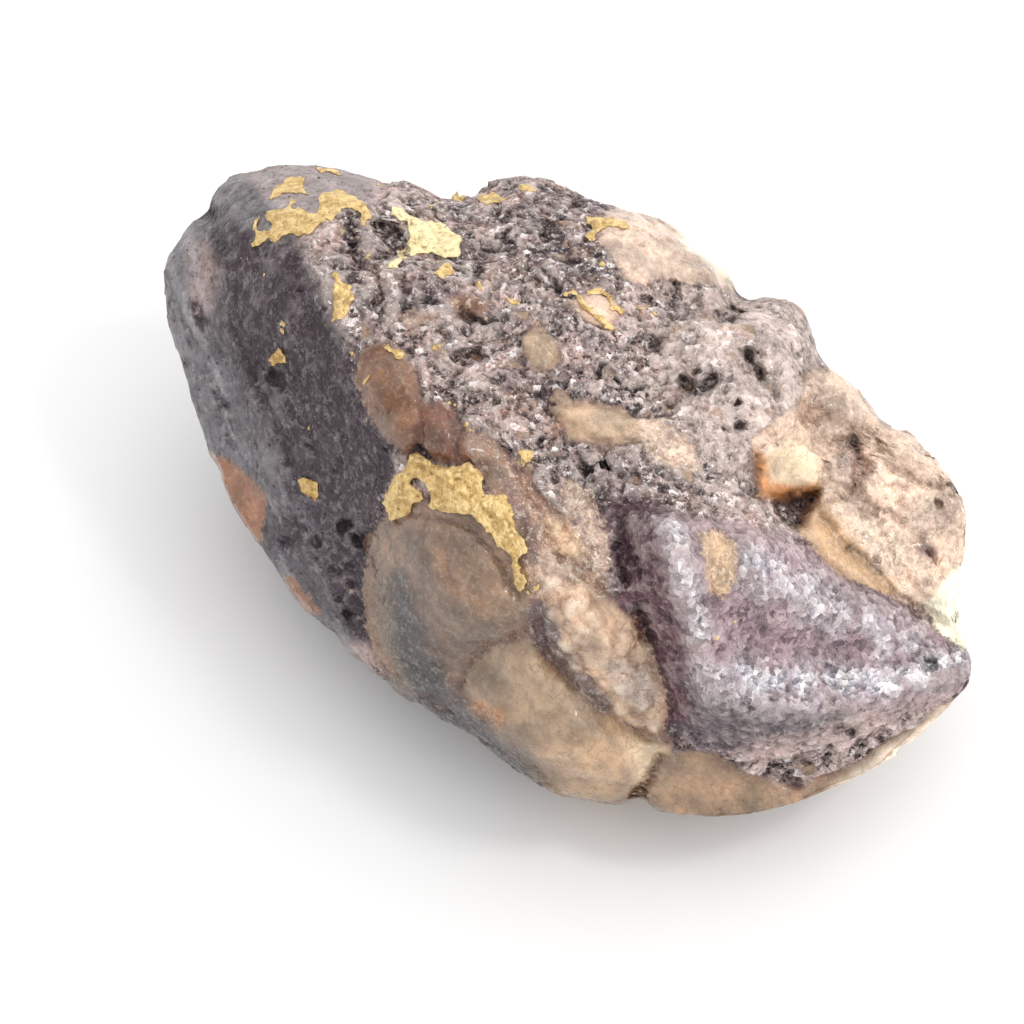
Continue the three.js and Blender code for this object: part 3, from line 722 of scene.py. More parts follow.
LUMPS = tuple(Lump(*row) for row in (
    (946, 612, 0.9, 0.55), (800, 598, 1.6, 0.45), (574, 606, 0.6, 0.4), (596, 618, 0.5, 0.3),
    (580, 640, 0.55, 0.35), (612, 648, 0.6, 0.4), (604, 676, 0.55, 0.35), (634, 676, 0.55, 0.35),
    (644, 706, 0.6, 0.4), (622, 706, 0.45, 0.25), (590, 668, 0.4, 0.25), (628, 632, 0.4, 0.25),
    (568, 546, 0.6, 0.4), (548, 566, 0.5, 0.25), (590, 580, 0.5, 0.3), (532, 520, 0.45, 0.25),
    (390, 376, 1.1, 0.4), (391, 432, 0.9, 0.4), (437, 418, 0.9, 0.4), (468, 449, 0.6, 0.35),
    (440, 590, 1.6, 0.35), (500, 610, 1.0, 0.35), (560, 740, 1.8, 0.3), (620, 770, 1.1, 0.25),
    (740, 345, 2.6, 0.35), (700, 335, 1.0, 0.25), (770, 350, 1.2, 0.25), (560, 250, 1.4, 0.3),
    (600, 360, 1.6, 0.25), (430, 300, 1.2, 0.25), (250, 330, 1.8, 0.3), (310, 430, 1.6, 0.25),
    (640, 500, 0.8, 0.3), (590, 490, 0.9, 0.25), (712, 552, 0.7, -0.2), (850, 410, 1.2, 0.3),
    (920, 490, 1.4, 0.25),
))

NOTCHES = tuple(Lump(*row) for row in (
    (204, 212, 0.9, -0.42), (228, 182, 1.1, 0.25), (172, 268, 1.2, 0.22), (876, 434, 0.8, -0.5),
    (742, 298, 0.9, -0.35), (640, 800, 0.7, -0.5), (452, 198, 1.2, -0.25), (846, 380, 0.9, 0.22),
    (906, 444, 0.9, 0.22), (958, 600, 0.7, -0.15), (790, 312, 1.0, 0.2), (335, 636, 0.8, -0.22),
    (226, 468, 0.8, -0.2), (392, 182, 0.8, -0.18), (520, 184, 1.2, 0.2), (964, 672, 1.2, 0.30),
    (900, 752, 0.8, -0.2), (560, 790, 1.2, 0.18),
))

# A pit's last number, 0.85 where it is not given, is the dirt and painted shade in it.
PITS = (
    Pit(((388, 230), (396, 246)), 0.5, 1.1), Pit(((380, 256),), 0.35, 0.6),
    Pit(((464, 312), (474, 318)), 0.32, 0.9), Pit(((462, 356), (476, 355)), 0.34, 1.0),
    Pit(((672, 286), (673, 306)), 0.36, 0.9), Pit(((645, 299),), 0.28, 0.5),
    Pit(((724, 314), (736, 309)), 0.5, 1.2), Pit(((682, 379), (689, 385)), 0.40, 1.0),
    Pit(((704, 389), (714, 381)), 0.36, 0.9), Pit(((698, 373),), 0.24, 0.6),
    Pit(((748, 354), (760, 376)), 0.36, 1.3), Pit(((736, 405),), 0.32, 1.0),
    Pit(((741, 424),), 0.34, 1.0), Pit(((724, 428),), 0.22, 0.6),
    Pit(((580, 469), (586, 470)), 0.28, 0.8), Pit(((603, 464), (609, 470)), 0.32, 0.8),
    Pit(((616, 380), (620, 384)), 0.24, 0.7), Pit(((927, 663),), 0.36, 0.9),
    Pit(((842, 728), (850, 732)), 0.36, 0.6), Pit(((860, 742),), 0.3, 0.6),
    Pit(((830, 750),), 0.3, 0.5), Pit(((808, 760),), 0.3, 0.5),
    Pit(((272, 376), (280, 382)), 0.5, 0.5, 0.6), Pit(((346, 525),), 0.46, 0.8, 0.66),
    Pit(((359, 540),), 0.46, 0.8, 0.66), Pit(((335, 572),), 0.36, 0.4, 0.25),
    Pit(((351, 566),), 0.34, 0.4, 0.25), Pit(((352, 583),), 0.3, 0.35, 0.25),
    Pit(((350, 614),), 0.32, 0.4, 0.3), Pit(((339, 600),), 0.3, 0.4, 0.35),
    Pit(((317, 540),), 0.36, 0.35, 0.3), Pit(((288, 541),), 0.36, 0.35, 0.3),
    Pit(((288, 463),), 0.3, 0.35, 0.3), Pit(((312, 446),), 0.26, 0.3, 0.3),
    Pit(((342, 436),), 0.3, 0.3, 0.3), Pit(((929, 554), (933, 560)), 0.26, 0.5),
    Pit(((616, 548), (626, 580)), 0.4, 0.6), Pit(((638, 612), (648, 640)), 0.4, 0.6),
    Pit(((300, 290),), 0.26, 0.3, 0.3), Pit(((196, 306), (202, 322)), 0.4, 0.35),
    Pit(((216, 392), (222, 404)), 0.35, 0.35), Pit(((430, 210), (436, 214)), 0.24, 0.4),
    Pit(((350, 250), (358, 262)), 0.36, 0.7), Pit(((500, 240), (512, 250)), 0.36, 0.6),
    Pit(((938, 502),), 0.24, 0.5), Pit(((848, 548),), 0.2, 0.4), Pit(((878, 560),), 0.2, 0.35),
    Pit(((545, 235),), 0.34, 0.6), Pit(((650, 345), (660, 352)), 0.3, 0.5),
    Pit(((520, 400), (530, 408)), 0.3, 0.5), Pit(((540, 440),), 0.28, 0.5),
)

FLAKES = (
    FlakeForm("gold_big_leaf", ((385, 501), (390, 519), (398, 517), (410, 511), (413, 502), (420, 499),
        (427, 500), (430, 507), (444, 512), (456, 515), (468, 513), (474, 519), (482, 524), (490, 532),
        (498, 545), (506, 550), (512, 560), (513, 572), (518, 590), (523, 590), (526, 582), (524, 576),
        (519, 572), (519, 558), (525, 551), (527, 548), (519, 536), (513, 520), (510, 508), (506, 496),
        (494, 494), (484, 497), (481, 488), (483, 480), (480, 471), (474, 469), (469, 461), (463, 462),
        (462, 467), (450, 467), (432, 466), (425, 457), (418, 453), (411, 455), (408, 464), (402, 473),
        (394, 478), (388, 487)), 0.42, 0.3, ((410, 482), (416, 479), (424, 484), (429, 494), (430, 505),
        (425, 501), (421, 491), (414, 486)), pale=0.15, darkening=0.03, spread=0.13),
    FlakeForm("gold_crown_upper_flake", ((268, 199), (272, 193), (275, 187), (284, 181), (288, 177),
        (298, 176), (307, 178), (303, 182), (304, 189), (308, 194), (298, 194), (290, 194), (282, 195),
        (275, 199), (269, 202))),
    FlakeForm("gold_crown_lower_flake", ((266, 212), (274, 210), (284, 210), (288, 202), (294, 200),
        (291, 208), (302, 210), (316, 213), (326, 220), (318, 226), (312, 232), (300, 235), (290, 234),
        (280, 238), (274, 242), (270, 241), (271, 234), (262, 244), (253, 247), (255, 241), (257, 236),
        (252, 225), (255, 217), (259, 217), (257, 224), (258, 230), (268, 231), (272, 226), (266, 218)),
        spread=0.12),
    FlakeForm("gold_crown_middle_flake", ((322, 193), (340, 191), (350, 196), (362, 199), (367, 202),
        (366, 208), (370, 216), (366, 226), (362, 227), (362, 218), (356, 212), (350, 208), (342, 208),
        (336, 214), (330, 220), (318, 214), (317, 208), (321, 198)), spread=0.12),
    FlakeForm("gold_crown_rim_flake", ((311, 169), (320, 164), (330, 166), (340, 172), (347, 175),
        (340, 176), (331, 175), (326, 171), (318, 170))),
    FlakeForm("gold_right_crown_flake", ((390, 207), (402, 207), (414, 216), (423, 220), (439, 221),
        (447, 225), (452, 231), (463, 238), (457, 246), (460, 253), (457, 259), (445, 258), (432, 253),
        (417, 254), (405, 255), (404, 261), (399, 268), (389, 269), (388, 264), (397, 255), (404, 246),
        (410, 238), (408, 229), (407, 222), (390, 216)), 0.24, pale=0.75),
    FlakeForm("gold_right_crown_chip", ((433, 272), (443, 264), (449, 263), (451, 268), (457, 272),
        (445, 276), (442, 283), (439, 279))),
    FlakeForm("gold_upright_flake", ((333, 272), (337, 270), (341, 278), (350, 284), (351, 292),
        (355, 298), (350, 306), (347, 314), (344, 322), (338, 321), (332, 322), (334, 310), (332, 294),
        (334, 282))),
    FlakeForm("gold_triangle_fleck", ((277, 346), (284, 353), (288, 366), (278, 366), (269, 368),
        (272, 354)), 0.14, pale=0.0, darkening=0.45),
    FlakeForm("gold_left_fleck", ((298, 479), (309, 478), (316, 484), (319, 495), (314, 501),
        (305, 493), (299, 486)), 0.16, pale=0.0, darkening=0.3),
    FlakeForm("gold_quartz_fleck", ((381, 347), (388, 343), (392, 348), (400, 347), (406, 354),
        (403, 359), (396, 360), (392, 352)), 0.14),
    FlakeForm("gold_quartz_chip", ((368, 372), (372, 376), (367, 382), (362, 387), (364, 380)), 0.12),
    FlakeForm("gold_saddle_fleck", ((475, 197), (486, 192), (497, 192), (501, 196), (510, 196),
        (498, 203), (488, 205), (480, 203)), 0.16),
    FlakeForm("gold_far_right_flake", ((585, 216), (597, 216), (612, 218), (627, 221), (631, 227),
        (621, 229), (610, 226), (601, 231), (595, 240), (587, 243), (586, 235), (591, 229), (588, 222)),
        0.18),
    FlakeForm("gold_lens_ridge", ((562, 290), (573, 289), (582, 296), (588, 305), (599, 313),
        (608, 320), (619, 329), (612, 331), (600, 325), (588, 314), (580, 305), (574, 296), (564, 295)),
        0.22),
    FlakeForm("gold_lens_cap", ((586, 290), (599, 287), (610, 292), (616, 303), (627, 311), (622, 316),
        (612, 309), (606, 298), (598, 294), (588, 296)), 0.14),
    FlakeForm("gold_middle_fleck", ((474, 283), (480, 280), (485, 284), (483, 293), (478, 292)), 0.14),
    FlakeForm("gold_middle_sliver", ((503, 297), (510, 298), (521, 300), (519, 305), (510, 304)), 0.12),
    FlakeForm("gold_step_fleck", ((516, 452), (530, 449), (535, 458), (527, 465), (522, 467),
        (519, 461)), 0.16),
)


class MeshCloud:
    """The vertices of a mesh as arrays in millimetres, read once and written back."""

    def __init__(self, mesh: bpy.types.Mesh) -> None:
        """Reads a mesh.

        Args:
            mesh: The mesh to read.
        """
        self.mesh = mesh
        self.count = len(mesh.vertices)
        self.places = self.read("co") / MM
        self.normals = self.read("normal")

    def read(self, what: str) -> Array:
        """Reads one of the mesh's vectors.

        Args:
            what: What Blender calls it: co for the places, normal for the normals.

        Returns:
            A row of three numbers for each vertex.
        """
        flat = np.empty(self.count * 3, np.float32)
        self.mesh.vertices.foreach_get(what, flat)
        return flat.reshape(-1, 3).astype(float)

    def write(self) -> None:
        """Writes the places back and reads the new normals."""
        self.mesh.vertices.foreach_set("co", (self.places * MM).astype(np.float32).ravel())
        self.mesh.update()
        self.normals = self.read("normal")

    def upper_share(self, low: float, high: float) -> Array:
        """How far each vertex faces the chart, from 0 at the low lean to 1 at the high one."""
        return smoothstep(self.normals @ OUTWARD, low, high)

    def relief(self, rounds: int) -> Array:
        """How far each vertex stands out of the surface round it.

        Args:
            rounds: How many times the surface is smoothed, which sets how wide it looks.

        Returns:
            Millimetres above the smoothed surface, negative in a hollow.
        """
        pairs = np.empty(len(self.mesh.edges) * 2, np.int32)
        self.mesh.edges.foreach_get("vertices", pairs)
        first, second = pairs.reshape(-1, 2).T
        counts = np.bincount(first, minlength=self.count) + np.bincount(
            second, minlength=self.count)
        smoothed = self.places
        for _ in range(rounds):
            total = [np.bincount(first, smoothed[second, axis], self.count)
                     + np.bincount(second, smoothed[first, axis], self.count)
                     for axis in range(3)]
            smoothed = np.stack(total, axis=1) / np.maximum(counts, 1)[:, None]
        return np.einsum("ij,ij->i", self.places - smoothed, self.normals)

    def store(self, **shares: Array | float) -> None:
        """Stores numbers for the vertices as attributes that materials read.

        Args:
            **shares: Each attribute's values, or the one value that all vertices have.
        """
        for name, values in shares.items():
            layer = self.mesh.attributes.new(name, "FLOAT", "POINT")
            filled = np.zeros(self.count, np.float32)
            filled[:] = values
            layer.data.foreach_set("value", filled)

    def store_colour(self, name: str, colours: Array) -> None:
        """Stores a colour for each vertex as an attribute that materials read.

        Args:
            name: The attribute's name.
            colours: A linear colour for each vertex.
        """
        layer = self.mesh.attributes.new(name, "FLOAT_COLOR", "POINT")
        padded = np.ones((self.count, 4), np.float32)
        padded[:, :3] = colours
        layer.data.foreach_set("color", padded.ravel())


def placed(name: str, data: bpy.types.ID) -> Object:
    """Makes an object at the origin and links it to the scene.

    Args:
        name: The object's name.
        data: Its mesh, lamp or camera.

    Returns:
        The object.
    """
    made = bpy.data.objects.new(name, data)
    bpy.context.scene.collection.objects.link(made)
    return made


def finished(build: bmesh.types.BMesh, name: str) -> Object:
    """Turns a finished build into an object at the origin.

    Args:
        build: The build, which is freed.
        name: The object's name.

    Returns:
        The object.
    """
    mesh = bpy.data.meshes.new(name)
    build.to_mesh(mesh)
    build.free()
    return placed(name, mesh)


def merged_copy(node: str, name: str) -> Object:
    """A copy of a CAD node's mesh with its loose triangles merged.

    Args:
        node: The CAD node's name.
        name: The new piece's name.

    Returns:
        The new piece, at the origin.
    """
    build = bmesh.new()
    build.from_mesh(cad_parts[node].data)
    bmesh.ops.remove_doubles(build, verts=build.verts, dist=MERGE_DISTANCE * MM)
    bmesh.ops.recalc_face_normals(build, faces=build.faces)
    return finished(build, name)


def apply_modifiers(piece: Object) -> None:
    """Bakes a piece's modifiers into its mesh.

    Args:
        piece: The piece.
    """
    view = bpy.context.evaluated_depsgraph_get()
    shaped = bpy.data.meshes.new_from_object(piece.evaluated_get(view))
    piece.modifiers.clear()
    piece.data = shaped


def smooth_faces(mesh: bpy.types.Mesh) -> None:
    """Shades every face of a mesh smooth."""
    mesh.polygons.foreach_set("use_smooth", np.ones(len(mesh.polygons), bool))
    mesh.update()


def relax(build: bmesh.types.BMesh, verts: object, factor: float = 0.5, rounds: int = 1,
          level: bool = False) -> None:
    """Evens out some vertices of a build.

    Args:
        build: The build.
        verts: Its vertices that move.
        factor: How far each moves in a round.
        rounds: How many times they move.
        level: Whether they keep their heights.
    """
    for _ in range(rounds):
        bmesh.ops.smooth_vert(build, verts=verts, factor=factor, use_axis_x=True,
                              use_axis_y=True, use_axis_z=not level)


class Sketch:
    """Adds nodes to one shader tree with short calls."""

    def __init__(self, tree: Tree) -> None:
        """Keeps the tree that the nodes go into."""
        self.tree = tree

    def add(self, kind: str, **values: object) -> Node:
        """Adds a node and sets its own properties.

        Args:
            kind: The node's type name.
            **values: Properties of the node.

        Returns:
            The new node.
        """
        node = self.tree.nodes.new(kind)
        for name, value in values.items():
            setattr(node, name, value)
        return node

    def join(self, source: object, target: Socket) -> None:
        """Links a socket to an input, or sets the input to a plain value.

        Args:
            source: The socket, number or colour.
            target: The input.
        """
        if isinstance(source, Socket):
            self.tree.links.new(source, target)
        elif isinstance(source, tuple) and target.type == "RGBA" and len(source) == 3:
            target.default_value = (*source, 1.0)
        else:
            target.default_value = source

    def feed(self, node: Node, sources: dict[str | int, object]) -> Node:
        """Joins sockets or plain values to several inputs of a node.

        Args:
            node: The node.
            sources: What goes into each input, by the input's name or number.

        Returns:
            The node.
        """
        for label, source in sources.items():
            self.join(source, node.inputs[label])
        return node

    def maths(self, operation: str, *sources: object) -> Socket:
        """Adds a Math node.

        Args:
            operation: The node's operation.
            *sources: Its sockets or numbers.

        Returns:
            The result socket.
        """
        node = self.add("ShaderNodeMath", operation=operation)
        return self.feed(node, dict(enumerate(sources))).outputs[0]

    def times(self, first: object, second: object) -> Socket:
        """The product of two values."""
        return self.maths("MULTIPLY", first, second)

    def line(self, value: object, slope: object, base: object) -> Socket:
        """A value times a slope, plus a base."""
        return self.maths("MULTIPLY_ADD", value, slope, base)

    def larger(self, first: object, second: object) -> Socket:
        """The larger of two values."""
        return self.maths("MAXIMUM", first, second)

    def centred(self, noise: object) -> Socket:
        """A noise from 0 to 1 with its middle brought to 0."""
        return self.maths("SUBTRACT", noise, 0.5)

    def span(self, value: object, low: float, high: float) -> Socket:
        """A smooth share from 0 at low to 1 at high."""
        node = self.add("ShaderNodeMapRange", interpolation_type="SMOOTHSTEP")
        return self.feed(node, {"Value": value, "From Min": low, "From Max": high}).outputs[0]

    def blend(self, share: object, first: object, second: object) -> Socket:
        """Blends two colours.

        Args:
            share: How much of the second colour shows.
            first: The first colour, as a socket or as a tuple.
            second: The second colour, as a socket or as a tuple.

        Returns:
            The blended colour's socket.
        """
        node = self.add("ShaderNodeMix", data_type="RGBA")
        return self.feed(node, {"Factor": share, 6: first, 7: second}).outputs[2]

    def noise(self, place: object, size: float, detail: float, roughness: float) -> Socket:
        """Noise of a real size over a place, from 0 to 1.

        Args:
            place: The socket of the place in metres.
            size: The size of a lump in millimetres.
            detail: The number of finer layers.
            roughness: The strength of the finer layers.

        Returns:
            The noise socket.
        """
        node = self.add("ShaderNodeTexNoise")
        return self.feed(node, {"Vector": place, "Scale": 1.0 / (size * MM), "Detail": detail,
                                "Roughness": roughness}).outputs[0]

    def attribute(self, name: str, colour: bool = False) -> Socket:
        """Reads an attribute of the piece as a number or as a colour."""
        node = self.add("ShaderNodeAttribute", attribute_name=name)
        return node.outputs["Color" if colour else "Fac"]

    def group(self, tree: Tree, **sources: object) -> Node:
        """Places a node group, with sockets or values for its inputs."""
        return self.feed(self.add("ShaderNodeGroup", node_tree=tree), sources)


class Brush(Sketch):
    """A new material and its shader."""

    def __init__(self, name: str) -> None:
        """Starts the material.

        Args:
            name: The material's name.
        """
        self.material = bpy.data.materials.new(name)
        self.material.use_nodes = True
        super().__init__(self.material.node_tree)

    def shade(self, sources: dict[str, object]) -> Material:
        """Joins sockets or plain values to the shader, which finishes the material."""
        self.feed(self.tree.nodes["Principled BSDF"], sources)
        return self.material

    def place(self) -> Socket:
        """The place on the piece, in metres."""
        return self.add("ShaderNodeTexCoord").outputs["Object"]

    def bump(self, height: Socket, reach: float) -> Socket:
        """A relief whose height of 1 is so many millimetres high."""
        node = self.add("ShaderNodeBump")
        return self.feed(node, {"Strength": 1.0, "Distance": reach * MM,
                                "Height": height}).outputs[0]


def new_group(name: str, inputs: dict[str, str], outputs: dict[str, str]) -> tuple:
    """Starts a shader node group with named sockets.

    Args:
        name: The group's name.
        inputs: The input sockets' names and types.
        outputs: The output sockets' names and types.

    Returns:
        The group, its sketch, its input node's sockets and its output node.
    """
    group = bpy.data.node_groups.new(name, "ShaderNodeTree")
    for way, sockets in (("INPUT", inputs), ("OUTPUT", outputs)):
        for label, kind in sockets.items():
            group.interface.new_socket(label, in_out=way, socket_type=kind)
    sketch = Sketch(group)
    return group, sketch, sketch.add("NodeGroupInput").outputs, sketch.add("NodeGroupOutput")


VECTOR = "NodeSocketVector"
NUMBER = "NodeSocketFloat"
COLOUR = "NodeSocketColor"


@dataclass(frozen=True)
class GrainEffect:
    """The noises that the stone's finish draws on: each one's size in millimetres, detail and
    roughness.
    """

    coarse: Triple = (0.34, 3.0, 0.70)
    fine: Triple = (0.15, 1.0, 0.5)
    clouds: Triple = (2.3, 4.0, 0.6)
    veins: Triple = (1.5, 4.0, 0.62)
    dent_size: float = 0.37
    dent_wander: float = 0.55
    dent_push: Triple = (1.0, -0.7, 0.8)

    def group(self) -> Tree:
        """The effect as a node group.

        Returns:
            A group from a place to coarse grain, fine grain, clouds, dents, chips and veins.
        """
        names = ("Coarse", "Fine", "Clouds", "Dents", "Chips", "Veins")
        group, sketch, given, result = new_group(
            "Stone grain", {"Place": VECTOR}, {name: NUMBER for name in names})
        place = given["Place"]
        coarse = sketch.noise(place, *self.coarse)
        push = sketch.add("ShaderNodeVectorMath", operation="SCALE")
        sketch.feed(push, {0: self.dent_push,
                           "Scale": sketch.times(coarse, self.dent_wander * MM)})
        moved = sketch.add("ShaderNodeVectorMath", operation="ADD")
        sketch.feed(moved, {0: place, 1: push.outputs[0]})
        cells = sketch.add("ShaderNodeTexVoronoi", feature="F1")
        sketch.feed(cells, {"Vector": moved.outputs[0], "Scale": 1.0 / (self.dent_size * MM)})
        veins = sketch.maths("ABSOLUTE", sketch.centred(sketch.noise(place, *self.veins)))
        sketch.feed(result, {
            "Coarse": coarse, "Fine": sketch.noise(place, *self.fine),
            "Clouds": sketch.noise(place, *self.clouds), "Dents": cells.outputs["Distance"],
            "Chips": cells.outputs["Color"], "Veins": veins})
        return group


@dataclass(frozen=True)
class ToneEffect:
    """Clouds of lighter and darker tone."""

    base: float = 2.718

    def group(self) -> Tree:
        """The effect as a node group.

        Returns:
            A group from a noise, a colour and a reach to a clouded colour.
        """
        group, sketch, given, result = new_group(
            "Tone clouds", {"Noise": NUMBER, "Colour": COLOUR, "Reach": NUMBER},
            {"Colour": COLOUR})
        swing = sketch.times(sketch.centred(given["Noise"]), given["Reach"])
        scale = sketch.add("ShaderNodeVectorMath", operation="SCALE")
        sketch.feed(scale, {0: given["Colour"], "Scale": sketch.maths("POWER", self.base, swing)})
        sketch.feed(result, {"Colour": scale.outputs[0]})
        return group


@dataclass(frozen=True)
class BrokenEffect:
    """The broken grain of a rough stone, with painted shade in its dark hollows and painted highlights
    on its pale peaks, where the bump sinks and rises with the same noise.
    """

    hollow_noise: Pair = (0.49, 0.37)
    hollow_share: float = 0.9
    peak_noise: Pair = (0.52, 0.64)
    peak_share: float = 0.75

    def group(self) -> Tree:
        """The effect as a node group.

        Returns:
            A group from a noise, a colour, a dark, a pale and two strengths to a colour.
        """
        group, sketch, given, result = new_group(
            "Broken grain", {"Noise": NUMBER, "Colour": COLOUR, "Dark": COLOUR, "Pale": COLOUR,
                             "Hollows": NUMBER, "Peaks": NUMBER}, {"Colour": COLOUR})
        hollow = sketch.times(sketch.span(given["Noise"], *self.hollow_noise), given["Hollows"])
        peak = sketch.times(sketch.span(given["Noise"], *self.peak_noise), given["Peaks"])
        darkened = sketch.blend(sketch.times(hollow, self.hollow_share), given["Colour"],
                                given["Dark"])
        paled = sketch.blend(sketch.times(peak, self.peak_share), darkened, given["Pale"])
        sketch.feed(result, {"Colour": paled})
        return group


class Effects:
    """The shared node groups, each built once."""

    def __init__(self) -> None:
        """Builds the groups."""
        self.grain = GrainEffect().group()
        self.tones = ToneEffect().group()
        self.broken = BrokenEffect().group()


class StoneBrush(Brush):
    """A new material with the stone's grain, and short calls for the shared effects."""

    def __init__(self, name: str, effects: Effects) -> None:
        """Starts the material.

        Args:
            name: The material's name.
            effects: The shared node groups.
        """
        super().__init__(name)
        self.effects = effects
        grain = self.group(effects.grain, Place=self.place()).outputs
        self.coarse, self.fine, self.clouds = grain["Coarse"], grain["Fine"], grain["Clouds"]
        self.dents, self.chips, self.veins = grain["Dents"], grain["Chips"], grain["Veins"]

    def toned(self, noise: Socket, colour: Socket, reach: object) -> Socket:
        """A colour clouded by a noise, as far as its reach goes."""
        node = self.group(self.effects.tones, Noise=noise, Colour=colour, Reach=reach)
        return node.outputs["Colour"]

    def broken(self, colour: Socket, tones: tuple[Triple, Triple], hollows: Socket,
               peaks: Socket) -> Socket:
        """A colour broken up into dark hollows of painted shade and pale peaks of painted highlight.

        Args:
            colour: The colour.
            tones: The dark and the pale.
            hollows: The strength of the hollows.
            peaks: The strength of the peaks.

        Returns:
            The broken colour's socket.
        """
        node = self.group(self.effects.broken, Noise=self.coarse, Colour=colour, Dark=tones[0],
                          Pale=tones[1], Hollows=hollows, Peaks=peaks)
        return node.outputs["Colour"]


@dataclass(frozen=True)
class StoneFinish:
    """Ironstone and quartz grown together, told apart by how deep a place lies in quartz.

    A pair is a slope and a base where its name ends in line, and otherwise where a smooth share
    starts and where it is full. Depths of the relief are millimetres.
    """

    name: str = "Ironstone and quartz"
    border: float = 0.10
    coarse_wander_line: Pair = (3.2, 0.35)
    fine_wander: float = 0.5
    cloud_reach_line: Pair = (2.4, 1.2)
    chip_reach_line: Pair = (0.9, 0.15)
    thick_clouds: Pair = (0.58, 0.42)
    thick_line: Pair = (0.65, 0.50)
    hollow_line: Pair = (0.80, 0.20)
    peak_line: Pair = (0.74, 0.06)
    web_clouds: Pair = (0.44, 0.58)
    web_veins: Pair = (0.036, 0.0)
    web_share: float = 0.34
    hole_dents: Pair = (0.34, 0.16)
    hole_chips: Pair = (0.42, 0.26)
    facet_chips: float = 0.45
    facet_coarse: float = 0.55
    dent_facets: Pair = (0.46, 0.34)
    dent_share: float = 0.55
    dent_shade_share: float = 0.75
    beaten_facets: Pair = (0.50, 0.62)
    beaten_share: float = 0.75
    shiny_chips: Pair = (0.72, 0.80)
    shiny_coarse: Pair = (0.44, 0.56)
    shiny_share: float = 0.8
    speck_fine: Pair = (0.64, 0.76)
    speck_line: Pair = (0.85, 0.08)
    quartz_reach_line: Pair = (3.0, 2.2)
    blot_clouds: Pair = (0.52, 0.64)
    blot_share: float = 0.7
    rim_depth: Pair = (0.8, 0.0)
    rim_line: Pair = (0.55, 0.10)
    quartz_hollow_line: Pair = (0.52, 0.05)
    quartz_peak_line: Pair = (0.70, 0.04)
    crack_veins: Pair = (0.014, 0.002)
    crack_clouds: Pair = (0.46, 0.56)
    crack_share: float = 0.32
    dot_fine: Pair = (0.36, 0.26)
    quartz_speck_line: Pair = (1.1, -0.04)
    dirt_coarse: Pair = (0.72, 0.40)
    matt_line: Pair = (0.60, 0.10)
    polish_gloss: float = -0.06
    quartz_gloss: float = -0.10
    sheen_metal: float = 0.62
    wax: float = 0.60
    wax_roughness: float = 0.10
    specular: float = 0.28
    grit_depth_line: Pair = (0.24, 0.16)
    polish_depth: float = 0.04
    quartz_depth_line: Pair = (0.22, 0.05)
    fine_depth: float = 0.045
    dent_depth_line: Pair = (0.10, 0.03)
    grit_dent_depth: float = 0.07
    vein_edge: Pair = (0.0, 0.02)
    vein_depth: float = 0.02
    black: Triple = linear(32, 22, 28)
    pale_stone: Triple = linear(208, 194, 188)
    stain: Triple = linear(150, 100, 64)
    dark_stain_and_shade: Triple = linear(104, 68, 54)
    pale_quartz: Triple = linear(246, 232, 212)
    glint: Triple = linear(248, 242, 240)
    web_tint: Triple = linear(150, 146, 150)

    def build(self, effects: Effects) -> Material:
        """Builds the material.

        Args:
            effects: The shared node groups.

        Returns:
            The material.
        """
        brush = StoneBrush(self.name, effects)
        quartz = self.quartz_share(brush)
        colour = brush.blend(quartz, self.iron(brush), self.quartz(brush))
        return brush.shade({"Base Color": self.weathered_shade_and_highlights(brush, quartz, colour),
                            **self.gloss(brush, quartz),
                            "Normal": brush.bump(self.height(brush, quartz), 1.0)})

    def quartz_share(self, brush: StoneBrush) -> Socket:
        """How much of a place is quartz, with a border that wanders at a fine scale.

        Args:
            brush: The material's brush.

        Returns:
            The share socket.
        """
        wander = brush.line(brush.attribute("quartz_grain"), *self.coarse_wander_line)
        depth = brush.line(brush.centred(brush.coarse), wander, brush.attribute("quartz_depth"))
        depth = brush.line(brush.centred(brush.fine), self.fine_wander, depth)
        return brush.span(depth, -self.border, self.border)

    def iron(self, brush: StoneBrush) -> Socket:
        """The ironstone's colour, with painted shade, highlights and glints.

        Args:
            brush: The material's brush.

        Returns:
            The colour socket.
        """
        grit, web = brush.attribute("grit"), brush.attribute("web")
        colour = brush.toned(brush.clouds, brush.attribute("stone_tint", colour=True),
                             brush.line(grit, *self.cloud_reach_line))
        colour = brush.toned(brush.chips, colour, brush.line(grit, *self.chip_reach_line))
        # The coarse grain's hollows get painted shade in black and its peaks painted highlights in pale
        # stone.
        thick = brush.line(brush.span(brush.clouds, *self.thick_clouds), *self.thick_line)
        hollows = brush.times(brush.line(grit, *self.hollow_line), thick)
        colour = brush.broken(colour, (self.black, self.pale_stone), hollows,
                              brush.line(grit, *self.peak_line))
        patchy = brush.times(brush.span(brush.clouds, *self.web_clouds), web)
        lines = brush.times(brush.span(brush.veins, *self.web_veins), patchy)
        colour = brush.blend(brush.times(lines, self.web_share), colour, self.web_tint)
        # The pits and dents of the bump get painted shade in black, in the web, the grit and the
        # polished snout.
        holed = brush.times(brush.span(brush.dents, *self.hole_dents),
                            brush.span(brush.chips, *self.hole_chips))
        facet = brush.line(brush.chips, self.facet_chips,
                           brush.times(brush.coarse, self.facet_coarse))
        dents = brush.times(brush.span(facet, *self.dent_facets), brush.attribute("polish"))
        dent_shade = brush.larger(brush.times(holed, web), brush.times(dents, self.dent_share))
        dent_shade = brush.larger(dent_shade, brush.times(holed, grit))
        colour = brush.blend(brush.times(dent_shade, self.dent_shade_share), colour, self.black)
